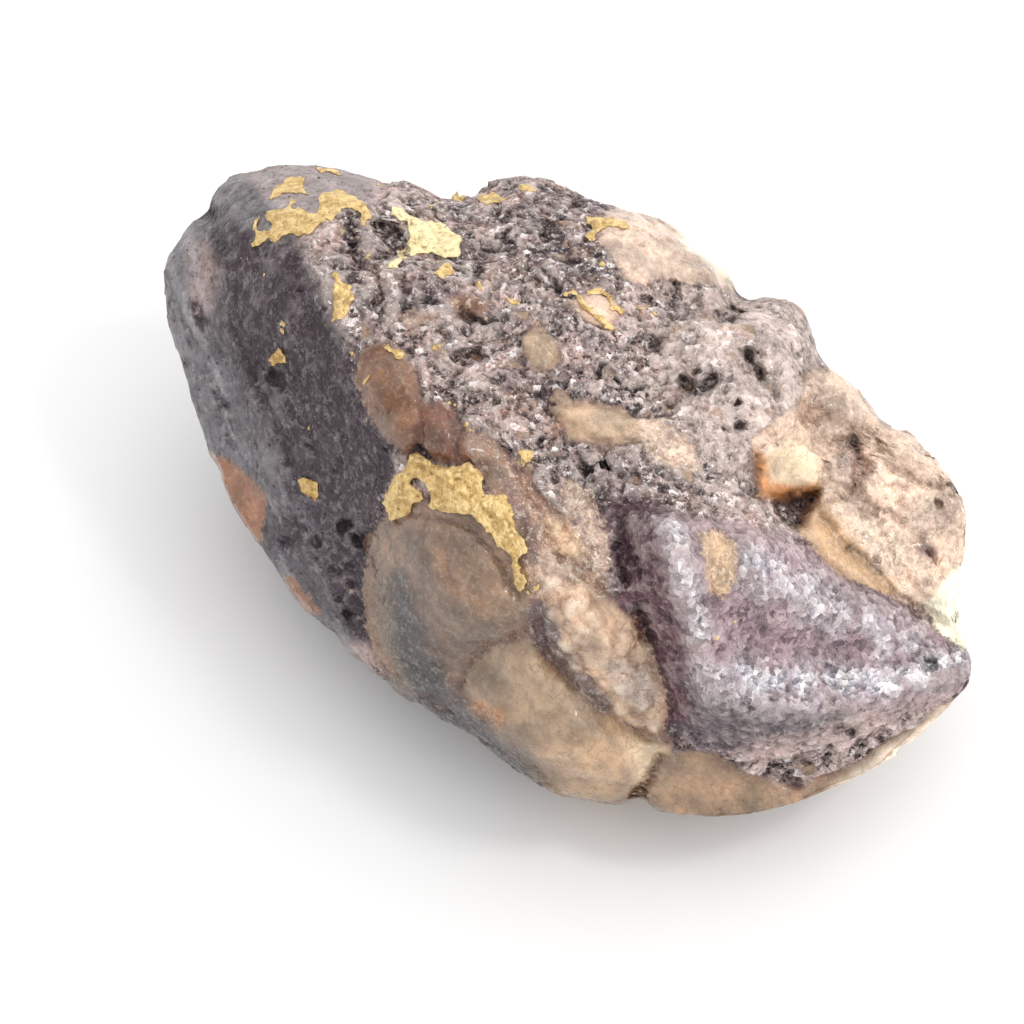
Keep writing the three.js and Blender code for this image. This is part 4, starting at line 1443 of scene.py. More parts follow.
        # Painted glints: facets on the snout's bright bands are turned towards the glint colour.
        beaten = brush.times(brush.span(facet, *self.beaten_facets), brush.attribute("sheen"))
        colour = brush.blend(brush.times(beaten, self.beaten_share), colour, self.glint)
        # Painted glints: some chips and fine specks of the grit are turned towards the glint colour.
        shiny = brush.times(brush.span(brush.chips, *self.shiny_chips),
                            brush.span(brush.coarse, *self.shiny_coarse))
        shiny = brush.times(shiny, brush.times(grit, self.shiny_share))
        glint_specks = brush.times(brush.span(brush.fine, *self.speck_fine),
                             brush.line(grit, *self.speck_line))
        return brush.blend(brush.larger(glint_specks, shiny), colour, self.glint)

    def quartz(self, brush: StoneBrush) -> Socket:
        """The quartz's colour, with painted shade, highlights and glints.

        Args:
            brush: The material's brush.

        Returns:
            The colour socket.
        """
        grained, stain = brush.attribute("quartz_grain"), brush.attribute("stain")
        colour = brush.toned(brush.clouds, brush.attribute("quartz_tint", colour=True),
                             brush.line(stain, *self.quartz_reach_line))
        blot = brush.times(brush.span(brush.clouds, *self.blot_clouds), stain)
        colour = brush.blend(brush.times(blot, self.blot_share), colour, self.stain)
        rim = brush.times(brush.span(brush.attribute("quartz_depth"), *self.rim_depth),
                          brush.line(stain, *self.rim_line))
        colour = brush.toned(brush.chips, brush.blend(rim, colour, self.dark_stain_and_shade), grained)
        # The quartz's coarse grain gets painted shade in dark stain in its hollows and painted
        # highlights in pale quartz on its peaks.
        colour = brush.broken(colour, (self.dark_stain_and_shade, self.pale_quartz),
                              brush.line(grained, *self.quartz_hollow_line),
                              brush.line(grained, *self.quartz_peak_line))
        crack = brush.times(brush.span(brush.veins, *self.crack_veins),
                            brush.span(brush.clouds, *self.crack_clouds))
        dots = brush.times(brush.span(brush.fine, *self.dot_fine), grained)
        marks = brush.larger(brush.times(crack, self.crack_share), dots)
        # Painted glints: fine specks of the grainy quartz are turned towards the glint colour.
        glint_specks = brush.times(brush.span(brush.fine, *self.speck_fine),
                             brush.line(grained, *self.quartz_speck_line))
        return brush.blend(glint_specks, brush.blend(marks, colour, self.dark_stain_and_shade), self.glint)

    def weathered_shade_and_highlights(self, brush: StoneBrush, quartz: Socket, colour: Socket) -> Socket:
        """Dirt and painted shade in the hollows of the mesh, and a worn tone with painted highlights on
        its peaks.

        Args:
            brush: The material's brush.
            quartz: The quartz share.
            colour: The colour so far.

        Returns:
            The weathered colour's socket.
        """
        dirt = brush.times(brush.attribute("dirt"), brush.span(brush.coarse, *self.dirt_coarse))
        dirtied = brush.blend(dirt, colour, brush.blend(quartz, self.black, self.dark_stain_and_shade))
        worn_tint = brush.blend(quartz, self.pale_stone, self.pale_quartz)
        return brush.blend(brush.attribute("worn"), dirtied, worn_tint)

    def gloss(self, brush: StoneBrush, quartz: Socket) -> dict[str, object]:
        """The roughness, the sheen and the wax.

        Args:
            brush: The material's brush.
            quartz: The quartz share.

        Returns:
            Sockets and values by the names of the shader's inputs.
        """
        polish = brush.times(brush.attribute("sheen"), brush.maths("SUBTRACT", 1.0, quartz))
        matt = brush.line(polish, self.polish_gloss, brush.line(brush.fine, *self.matt_line))
        return {"Roughness": brush.line(quartz, self.quartz_gloss, matt),
                "Metallic": brush.times(polish, self.sheen_metal),
                "Coat Weight": brush.times(quartz, self.wax),
                "Coat Roughness": self.wax_roughness, "Specular IOR Level": self.specular}

    def height(self, brush: StoneBrush, quartz: Socket) -> Socket:
        """The fine relief, in millimetres, which is coarser in ironstone than in quartz.

        Args:
            brush: The material's brush.
            quartz: The quartz share.

        Returns:
            The height's socket.
        """
        grit, polish = brush.attribute("grit"), brush.attribute("polish")
        iron_depth = brush.line(polish, self.polish_depth,
                                brush.line(grit, *self.grit_depth_line))
        quartz_depth = brush.line(brush.attribute("quartz_grain"), *self.quartz_depth_line)
        mix = brush.add("ShaderNodeMix", data_type="FLOAT")
        brush.feed(mix, {0: quartz, 2: iron_depth, 3: quartz_depth})
        height = brush.times(brush.coarse, mix.outputs[0])
        height = brush.line(brush.fine, self.fine_depth, height)
        dented = brush.line(grit, self.grit_dent_depth, brush.line(polish, *self.dent_depth_line))
        height = brush.line(brush.dents, dented, height)
        return brush.line(brush.span(brush.veins, *self.vein_edge), self.vein_depth, height)


@dataclass(frozen=True)
class GoldFinish:
    """Soft crumpled native gold, darkened by dirt and painted shade in its folds and pits."""

    name: str = "Native gold"
    beaten: Triple = (0.22, 3.0, 0.7)
    tone: Triple = (0.5, 3.0, 0.7)
    tone_share: Pair = (0.38, 0.60)
    pit_share: Pair = (0.44, 0.34)
    pit_darkening: float = 0.6
    fold_share: Pair = (0.62, 0.44)
    darkening_share: float = 0.85
    metal_line: Pair = (-0.6, 0.95)
    matt_line: Pair = (0.4, 0.32)
    relief: float = 0.19
    bright: Triple = linear(234, 204, 144)
    deep: Triple = linear(192, 154, 88)
    cream: Triple = linear(252, 242, 200)
    dirt: Triple = linear(126, 78, 34)

    def build(self) -> Material:
        """Builds the material.

        Returns:
            The material.
        """
        brush = Brush(self.name)
        place = brush.place()
        beaten = brush.noise(place, *self.beaten)
        tone = brush.span(brush.noise(place, *self.tone), *self.tone_share)
        colour = brush.blend(tone, self.deep, self.bright)
        # Painted highlight: the paleness attribute turns the gold towards cream, most on the brightly
        # lit crown flake.
        colour = brush.blend(brush.attribute("paleness"), colour, self.cream)
        # Dirt and painted shade: the gold darkens in the pits of its bump, in its folds, along its
        # edges and by each flake's own darkening.
        pitted = brush.times(brush.span(beaten, *self.pit_share), self.pit_darkening)
        darkening = brush.times(brush.attribute("folds"), brush.span(beaten, *self.fold_share))
        darkening = brush.larger(darkening, pitted)
        colour = brush.blend(brush.times(darkening, self.darkening_share), colour, self.dirt)
        return brush.shade({"Base Color": colour, "Metallic": brush.line(darkening, *self.metal_line),
                            "Roughness": brush.line(beaten, *self.matt_line),
                            "Normal": brush.bump(beaten, self.relief)})


@dataclass
class Piece:
    """A piece of the specimen, which gets its material once it is built."""

    piece: Object = field(init=False)

    def dress(self, material: Material) -> None:
        """Gives the piece its material."""
        self.piece.data.materials.append(material)


@dataclass
class Relief:
    """The fine relief of each kind of surface, in millimetres along each vertex's normal.

    A facet pair is its width and its rise, and an edge is where a pore or pinhole starts and is full.
    """

    grain: Grain
    places: Array
    lump: Noise = Noise(1.9, 0.0, 3, 0.6)
    warp: Noise = Noise(0.9)
    warp_shifts: Triple = (3.0, 23.0, 43.0)
    warp_reach: float = 0.3
    large_facet: Pair = (1.9, 0.26)
    small_facet: Pair = (0.8, 0.15)
    small_facet_shift: float = 9.0
    pore: Noise = Noise(0.95, 33.0, 2)
    pore_cluster: Noise = Noise(3.2, 133.0)
    pore_cluster_edge: Pair = (0.25, -0.25)
    pore_scatter: float = 0.12
    pore_edge: Pair = (0.26, 0.42)
    pore_depth: float = 0.45
    swell: Noise = Noise(3.6, 83.0, 2)
    swell_rise: float = 0.40
    gritty_lump_rise: float = 0.10
    thread: Noise = Noise(1.7, 61.0)
    thread_stretch: Triple = (1.0, 1.0, 0.7)
    thread_width: float = 0.055
    thread_rise: float = 0.07
    pin_spacing: float = 0.85
    pin_wander: float = 0.15
    pin_edge: Pair = (0.30, 0.14)
    pin_cluster: Noise = Noise(2.2, 9.0)
    pin_cluster_edge: Pair = (-0.05, 0.3)
    pin_depth: float = 0.16
    web_lump_rise: float = 0.16
    streak_rise: float = 0.09
    beaten: Noise = Noise(1.4, 51.0, 3, 0.6)
    beaten_rise: float = 0.26
    beaten_facet: Pair = (0.9, 0.16)
    waxy: Noise = Noise(2.4, 71.0, 3, 0.6)
    waxy_rise: float = 0.16
    waxy_facet: float = 1.3
    waxy_facet_line: Pair = (0.30, 0.07)
    lumps: Array = field(init=False)
    warped: Array = field(init=False)

    def __post_init__(self) -> None:
        """Reads the noise that several surfaces share."""
        self.lumps = self.grain.layers(self.places, self.lump)
        self.warped = self.places + self.warp_reach * self.grain.drift(
            self.places, self.warp, self.warp_shifts)

    def facets(self, size: float, rise: float | Array, shift: float = 0.0) -> Array:
        """Broken facets of a size and a rise."""
        return rise * self.grain.facets(self.warped + shift, size)

    def gritty(self) -> tuple[Array, Array]:
        """Porous ironstone.

        Returns:
            The relief, and how far each vertex lies in a pore.
        """
        broken = self.facets(*self.large_facet) + self.facets(
            *self.small_facet, self.small_facet_shift)
        clustered = self.pore_scatter * smoothstep(
            self.grain.layers(self.places, self.pore_cluster), *self.pore_cluster_edge)
        pore = smoothstep(self.grain.layers(self.places, self.pore) - clustered, *self.pore_edge)
        swell = self.grain.layers(self.places, self.swell)
        return (broken + self.swell_rise * swell + self.gritty_lump_rise * self.lumps
                - self.pore_depth * pore, pore)

    def webbed(self, streaks: Array) -> tuple[Array, Array]:
        """The smoother ironstone of the left face.

        Args:
            streaks: The left flank's streaks.

        Returns:
            The relief, and how far each vertex lies in a pinhole.
        """
        wander = self.grain.layers(self.places * np.array(self.thread_stretch), self.thread)
        pinned, _ = self.grain.cells(self.places + self.pin_wander * self.lumps[:, None],
                                     self.pin_spacing)
        pin = smoothstep(pinned, *self.pin_edge) * smoothstep(
            self.grain.layers(self.places, self.pin_cluster), *self.pin_cluster_edge)
        return (self.thread_rise * bell(wander, self.thread_width) - self.pin_depth * pin
                + self.web_lump_rise * self.lumps + self.streak_rise * streaks, pin)

    def polished(self) -> Array:
        """The beaten relief of the polished snout."""
        beaten = self.beaten_rise * self.grain.layers(self.places, self.beaten)
        return beaten + self.facets(*self.beaten_facet, self.beaten.shift)

    def quartz(self, grains: Array) -> Array:
        """The waxy relief of quartz, rougher where it is grainy.

        Args:
            grains: How grainy the quartz is at each vertex.

        Returns:
            The relief.
        """
        slope, base = self.waxy_facet_line
        waxy = self.waxy_rise * self.grain.layers(self.places, self.waxy)
        return waxy + self.facets(self.waxy_facet, base + slope * grains, self.waxy.shift)


@dataclass
class Rock(Piece):
    """The rock: ironstone and quartz in one surface, with its pores, webs, ledges and creases."""

    node: str = "rock"
    name: str = "rock_surface"
    seed: int = 11
    levels: int = 2
    web_region: Outline = ((150, 220), (220, 160), (300, 144), (392, 172), (384, 206), (336, 214),
        (304, 240), (312, 280), (334, 322), (368, 402), (396, 450), (376, 530), (366, 640), (372, 700),
        (280, 640), (190, 480))
    top_region: Outline = ((430, 300), (520, 280), (560, 380), (640, 400), (740, 440), (700, 510),
        (620, 500), (540, 460), (480, 420), (420, 360))
    flank_region: Outline = ((140, 220), (206, 226), (214, 330), (262, 380), (292, 470), (300, 540),
        (340, 600), (372, 680), (290, 640), (200, 520))
    snout_region: Outline = ((604, 504), (650, 500), (720, 520), (790, 532), (860, 578), (960, 640),
        (990, 680), (930, 708), (850, 738), (760, 762), (690, 748), (650, 700), (620, 620))
    knob_region: Outline = ((650, 320), (700, 292), (800, 280), (840, 380), (800, 440), (740, 500),
        (690, 440), (650, 380))
    # A region where most of the dirt and painted shade is taken away.
    clean_unshaded_region: Outline = ((922, 604), (940, 582), (958, 560), (1004, 550), (1004, 730), (950, 712),
        (960, 660), (932, 630))
    waver: Noise = Noise(1.1, 0.0, 2)
    waver_reach: float = 0.22
    pit_rag: Noise = Noise(0.8, 77.0, 2)
    pit_rag_reach: float = 0.62
    wander: Noise = Noise(2.4, 0.0, 3)
    wander_reach: float = 0.4
    web_rag: Noise = Noise(3.0, 120.0, 3, 0.6)
    web_rag_reach: float = 1.8
    sheen_patches: Noise = Noise(1.6, 210.0, 3, 0.6)
    knot_bend: Noise = Noise(1.2)
    knot_shifts: Triple = (5.0, 25.0, 45.0)
    knot_reach: float = 0.35
    knot_spacing: float = 1.15
    knot_patches: Noise = Noise(1.6, 65.0)
    streak_lean: float = math.radians(24.0)
    streak_squeeze: float = 0.16
    streak_bend: Noise = Noise(1.0, 7.0)
    streak_bend_reach: float = 0.35
    streak: Noise = Noise(0.9, 0.0, 3, 0.6)
    fleck: Noise = Noise(1.5, 150.0, 3, 0.6)
    hidden_quartz: Noise = Noise(11.0, 60.0, 3)
    hidden_tone: Noise = Noise(8.0, 90.0, 2)
    rust: Noise = Noise(2.2, 20.0, 4, 0.7)
    rust_share: float = 0.6
    wine: Noise = Noise(2.8, 120.0, 3, 0.6)
    wine_share: float = 0.45
    below_share: float = 0.6
    calm_shares: Triple = (0.9, 0.85, 0.42)
    reliefs: tuple[tuple[int, float], ...] = ((3, 0.05), (12, 0.16))
    hollow_edge: Pair = (0.2, 1.6)
    hollow_weights: tuple[float, ...] = (0.85, 0.30, 0.22, 0.30)
    peak_edge: Pair = (0.4, 2.2)
    peak_weights: tuple[float, ...] = (0.42, 0.10, 0.2, 0.04)
    pore_dirt: float = 0.85
    pin_dirt: float = 0.7
    gap_dirt: float = 0.60
    crest_wear_and_highlight: float = 0.42
    pale_share: float = 0.55
    pale_gain: float = 1.25
    soft: float = 0.4
    knob_soft: float = 1.0
    clean_unshaded_soft: float = 0.3
    web_soft: float = 0.5
    form_lean: Pair = (0.05, 0.35)
    rim_lean: Pair = (-0.8, -0.4)
    chart_lean: Pair = (-0.75, -0.4)
    rag_lean: Pair = (0.1, 0.6)
    web_lean: Pair = (-0.6, -0.2)
    web_lean_rag: float = 0.2
    foot: Pair = (0.1, 1.5)
    fleck_level: float = 0.38
    fleck_top: float = 0.10
    fleck_plain: float = 0.3
    fleck_slope: float = 3.0
    fleck_depth: float = 0.35
    hidden_level: float = 0.02
    hidden_slope: float = 6.0
    hidden_grains: float = 0.3
    hidden_stain: float = 0.5
    rust_edge: Pair = (0.10, 0.34)
    wine_edge: Pair = (0.08, 0.36)
    cloud: MeshCloud = field(init=False)
    grain: Grain = field(init=False)
    points: Array = field(init=False)
    upper: Array = field(init=False)

    def build(self) -> Object:
        """Builds the rock's surface over the CAD node.

        Returns:
            The rock's piece.
        """
        self.piece = merged_copy(self.node, self.name)
        rounding = self.piece.modifiers.new("Rounding", "SUBSURF")
        rounding.levels = rounding.render_levels = self.levels
        apply_modifiers(self.piece)
        self.cloud = MeshCloud(self.piece.data)
        self.grain = Grain(self.seed)
        dirt = self.shape_forms()
        self.paint_and_roughen(dirt)
        smooth_faces(self.piece.data)
        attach(self.piece, BODY)
        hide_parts(self.node)
        return self.piece

    def noise(self, noise: Noise) -> Array:
        """A noise over the rock's vertices where they now are."""
        return self.grain.layers(self.cloud.places, noise)

    def wandered(self, noise: Noise, reach: float, shift: float) -> Array:
        """The vertices' chart points, moved about by a noise.

        Args:
            noise: The noise.
            reach: How far it moves them, in millimetres.
            shift: The noise's shift between across and down.

        Returns:
            Chart points.
        """
        moves = self.grain.drift(self.cloud.places, noise, (0.0, shift))
        return CHART.read(self.cloud.places) + moves * reach / CHART.unit

    def region(self, outline: Outline, soft: float) -> Array:
        """How far each vertex belongs to a region of the chart with a soft edge."""
        return smoothstep(outline_depth(self.points, outline), -soft, soft)

    def shape_forms(self) -> Array:
        """Adds the ledges, folds, lumps and pits along the chart's height.

        Returns:
            How much dirt and painted shade each vertex takes in its creases, pits and pores, from 0 to
            1.
        """
        cloud = self.cloud
        self.points = self.wandered(self.waver, self.waver_reach, 30.0)
        upper = cloud.upper_share(*self.form_lean)
        ragged = self.pit_rag_reach * self.noise(self.pit_rag)
        height, dirt = np.zeros(cloud.count), np.zeros(cloud.count)
        for ledge in LEDGES:
            height += ledge.rise * self.region(ledge.outline, ledge.edge / 2.0)
        for fold in FOLDS:
            share = bell(line_distance(self.points, fold.line), fold.width)
            height += fold.rise * share
            dirt = np.maximum(dirt, fold.dirt * share)
        for lump in LUMPS:
            height += lump.height(self.points)
        for pit in PITS:
            away = line_distance(self.points, pit.line) + ragged * pit.radius
            share = smoothstep(away, pit.radius * 1.25, pit.radius * 0.45)
            height -= pit.depth * share
            dirt = np.maximum(dirt, pit.dirt * share)
        cloud.places += (upper * height)[:, None] * OUTWARD
        rim = np.zeros(cloud.count)
        for notch in NOTCHES:
            rim += notch.height(self.points)
        cloud.places += (cloud.upper_share(*self.rim_lean) * rim)[:, None] * cloud.normals
        cloud.write()
        return dirt * upper

    def paint_and_roughen(self, dirt: Array) -> None:
        """Works out what each place is made of, then roughens it to suit.

        Args:
            dirt: How much dirt and painted shade each vertex takes in its creases and pits.
        """
        cloud = self.cloud
        self.points = self.wandered(self.wander, self.wander_reach, 40.0)
        self.upper = cloud.upper_share(*self.chart_lean)
        depth, grains = self.quartz_depth()
        quartz = smoothstep(depth, -0.2, 0.2)
        iron = 1.0 - quartz
        ragged = self.web_rag_reach * self.noise(self.web_rag) * (
            1.0 - cloud.upper_share(*self.rag_lean))
        web = smoothstep(outline_depth(self.points, self.web_region) + ragged,
                         -self.web_soft, self.web_soft)
        web *= smoothstep(cloud.normals @ OUTWARD + self.web_lean_rag * ragged, *self.web_lean)
        snout = self.region(self.snout_region, self.soft) * self.upper
        knob = self.region(self.knob_region, self.knob_soft) * self.upper
        grit, iron_web, iron_snout = iron, web * iron, snout * iron
        for calm, share in zip(self.calm_shares, (web, snout, knob)):
            grit = grit * (1.0 - calm * share)
        streaks = self.streaks()
        relief = Relief(self.grain, cloud.places)
        gritty, pore = relief.gritty()
        webbed, pin = relief.webbed(streaks)
        height = (grit * gritty + iron_web * webbed + iron_snout * relief.polished()
                  + quartz * relief.quartz(grains))
        knots, gaps, crests = self.knots()
        height += knots
        height *= smoothstep(cloud.places[:, 2], *self.foot)
        cloud.places += height[:, None] * cloud.normals
        cloud.places[:, 2] = np.maximum(cloud.places[:, 2], 0.0)
        cloud.write()
        # The hollows of the mesh get painted shade, and its peaks wear and painted highlights, by how
        # far each vertex sinks below or stands above the surface round it.
        stands = sum(cloud.relief(rounds) / depth for rounds, depth in self.reliefs)
        kinds = (grit, iron_web, iron_snout, quartz)
        hollow = smoothstep(-stands, *self.hollow_edge) * sum(
            weight * kind for weight, kind in zip(self.hollow_weights, kinds))
        peak = smoothstep(stands, *self.peak_edge) * sum(
            weight * kind for weight, kind in zip(self.peak_weights, kinds))
        # Pores, pinholes, the gaps between knots and the hollows of the mesh all get dirt and painted
        # shade.
        pores = np.maximum(grit * pore * self.pore_dirt, iron_web * pin * self.pin_dirt)
        pores = np.maximum(pores, gaps)
        dirty = np.maximum(np.maximum(dirt, pores), hollow) * (
            1.0 - 0.9 * self.region(self.clean_unshaded_region, self.clean_unshaded_soft))
        sheen = self.sheen()
        cloud.store(quartz_depth=np.clip(depth, -2.0, 2.0), grit=np.clip(grit, 0.0, 1.0),
                    polish=snout, sheen=snout * sheen, web=web * (1.0 - snout),
                    worn=np.clip(np.maximum(peak, crests), 0.0, 1.0),
                    dirt=np.clip(dirty, 0.0, 0.95))
        # Painted sheen: the snout's bands are tinted towards steel.
        stone = toward(self.stone_tint(np.maximum(web, snout)), snout * sheen,
                       Tint.STEEL.colour)
        # The flank's raised streaks are paled towards slate: partly their own blue-grey, partly painted
        # highlight on the ridges.
        pale = smoothstep(streaks, 0.02, 0.34) * web * smoothstep(
            outline_depth(self.points, self.flank_region), -1.6, 1.0)
        cloud.store_colour("stone_tint", toward(
            stone, self.pale_share * pale, Tint.SLATE.colour * self.pale_gain))

    def sheen(self) -> Array:
        """How much painted sheen each vertex of the snout takes, along its bright bands.

        Returns:
            A share for each vertex.
        """
        sheen = np.zeros(self.cloud.count)
        for band in BANDS:
            away = line_distance(self.points, band.line)
            sheen = np.maximum(sheen, band.rise * bell(away, band.width))
        return sheen * smoothstep(self.noise(self.sheen_patches), -0.42, 0.16)

    def knots(self) -> tuple[Array, Array, Array]:
        """The rounded crystals of the knotty quartz.

        Returns:
            Millimetres that each vertex rises, the dirt and painted shade in the gaps, and the wear and
            painted highlight on the crests.
        """
        rise = np.zeros(self.cloud.count)
        for patch in QUARTZ:
            if patch.knots:
                share = smoothstep(outline_depth(self.points, patch.outline), 0.0, 0.5)
                rise = np.maximum(rise, patch.knots * share)
        bent = self.cloud.places + self.knot_reach * self.grain.drift(
            self.cloud.places, self.knot_bend, self.knot_shifts)
        first, second = self.grain.cells(bent, self.knot_spacing)
        knotty = smoothstep(rise, 0.0, 0.1)
        uneven = 0.3 + 0.7 * smoothstep(self.noise(self.knot_patches), -0.3, 0.3)
        gaps = smoothstep(second - first, 0.16, 0.0) * knotty * uneven
        crests = smoothstep(first, 0.42, 0.12) * knotty * uneven
        return rise * (1.1 - 2.0 * first), self.gap_dirt * gaps, self.crest_wear_and_highlight * crests

    def streaks(self) -> Array:
        """Long streaks that run steeply down the left flank.

        Returns:
            The noise at each vertex, from about -1 to 1.
        """
        points = CHART.read(self.cloud.places)
        sin_lean, cos_lean = math.sin(self.streak_lean), math.cos(self.streak_lean)
        along = points[:, 0] * sin_lean + points[:, 1] * cos_lean
        across = points[:, 0] * cos_lean - points[:, 1] * sin_lean
        drawn = np.column_stack([across * CHART.unit, along * CHART.unit * self.streak_squeeze,
                                 np.zeros(len(points))])
        bend = self.streak_bend_reach * self.grain.layers(
            drawn * np.array([0.25, 1.0, 1.0]), self.streak_bend)
        return self.grain.layers(drawn + bend[:, None] * np.array([1.0, 0.0, 0.0]), self.streak)

    def quartz_depth(self) -> tuple[Array, Array]:
        """How deep each vertex lies in quartz, and the tints that go with it.

        Returns:
            Millimetres inside quartz, negative outside it, and how grainy the quartz is.
        """
        count = self.cloud.count
        depth = np.full(count, -9.0)
        tint = np.tile(Tint.WARM_TAN.colour, (count, 1))
        grains, stain = np.full(count, 0.2), np.full(count, 0.4)
        wrapped = depth
        for patch in QUARTZ:
            inside = outline_depth(self.points, patch.outline)
            depth = np.maximum(depth, inside)
            if patch.under:
                wrapped = np.maximum(wrapped, inside)
            share = patch.share * smoothstep(inside, -patch.soft, 0.7 * patch.soft)
            tint = toward(tint, share, patch.tint.colour)
            grains += share * (patch.grain - grains)
            stain += share * (patch.stain - stain)
        top = smoothstep(outline_depth(self.points, self.top_region), -0.5, 2.0)
        plain = np.maximum(self.region(self.snout_region, self.soft),
                           0.6 * self.region(self.web_region, self.soft))
        flecks = (self.noise(self.fleck) - self.fleck_level + self.fleck_top * top
                  - self.fleck_plain * plain) * self.fleck_slope
        depth = np.maximum(depth, np.minimum(flecks, self.fleck_depth))
        hidden = np.maximum((self.noise(self.hidden_quartz) - self.hidden_level)
                            * self.hidden_slope, wrapped)
        cover = np.maximum(self.upper, smoothstep(wrapped, -0.2, 0.4))
        tone = smoothstep(self.noise(self.hidden_tone), -0.3, 0.3)[:, None]
        hidden_tint = (1.0 - tone) * Tint.GREY_TAN.colour + tone * Tint.PEACH.colour
        grains = grains * cover + self.hidden_grains * (1.0 - cover)
        stain = stain * cover + self.hidden_stain * (1.0 - cover)
        self.cloud.store_colour("quartz_tint", toward(hidden_tint, cover, tint))
        self.cloud.store(quartz_grain=grains, stain=stain)
        return hidden + self.upper * (depth - hidden), grains

    def stone_tint(self, web: Array) -> Array:
        """The ironstone's colour at each vertex.

        Args:
            web: How far each vertex is the smoother ironstone of the left face or the snout.

        Returns:
            A linear colour for each vertex.
        """
        tint = np.tile(Tint.LILAC.colour, (self.cloud.count, 1))
        for patch in STONE:
            share = self.region(patch.outline, patch.edge / 2.0) * patch.share * self.upper
            tint = toward(tint, share, patch.tint.colour)
        rust = smoothstep(self.noise(self.rust), *self.rust_edge) * (1.0 - web)
        tint = toward(tint, self.rust_share * rust, Tint.RUST.colour)
        wine = smoothstep(self.noise(self.wine), *self.wine_edge)
        tint = toward(tint, self.wine_share * wine * (1.0 - web), Tint.MAROON.colour)
        return toward(tint, (1.0 - self.upper) * self.below_share, Tint.PLUM.colour)


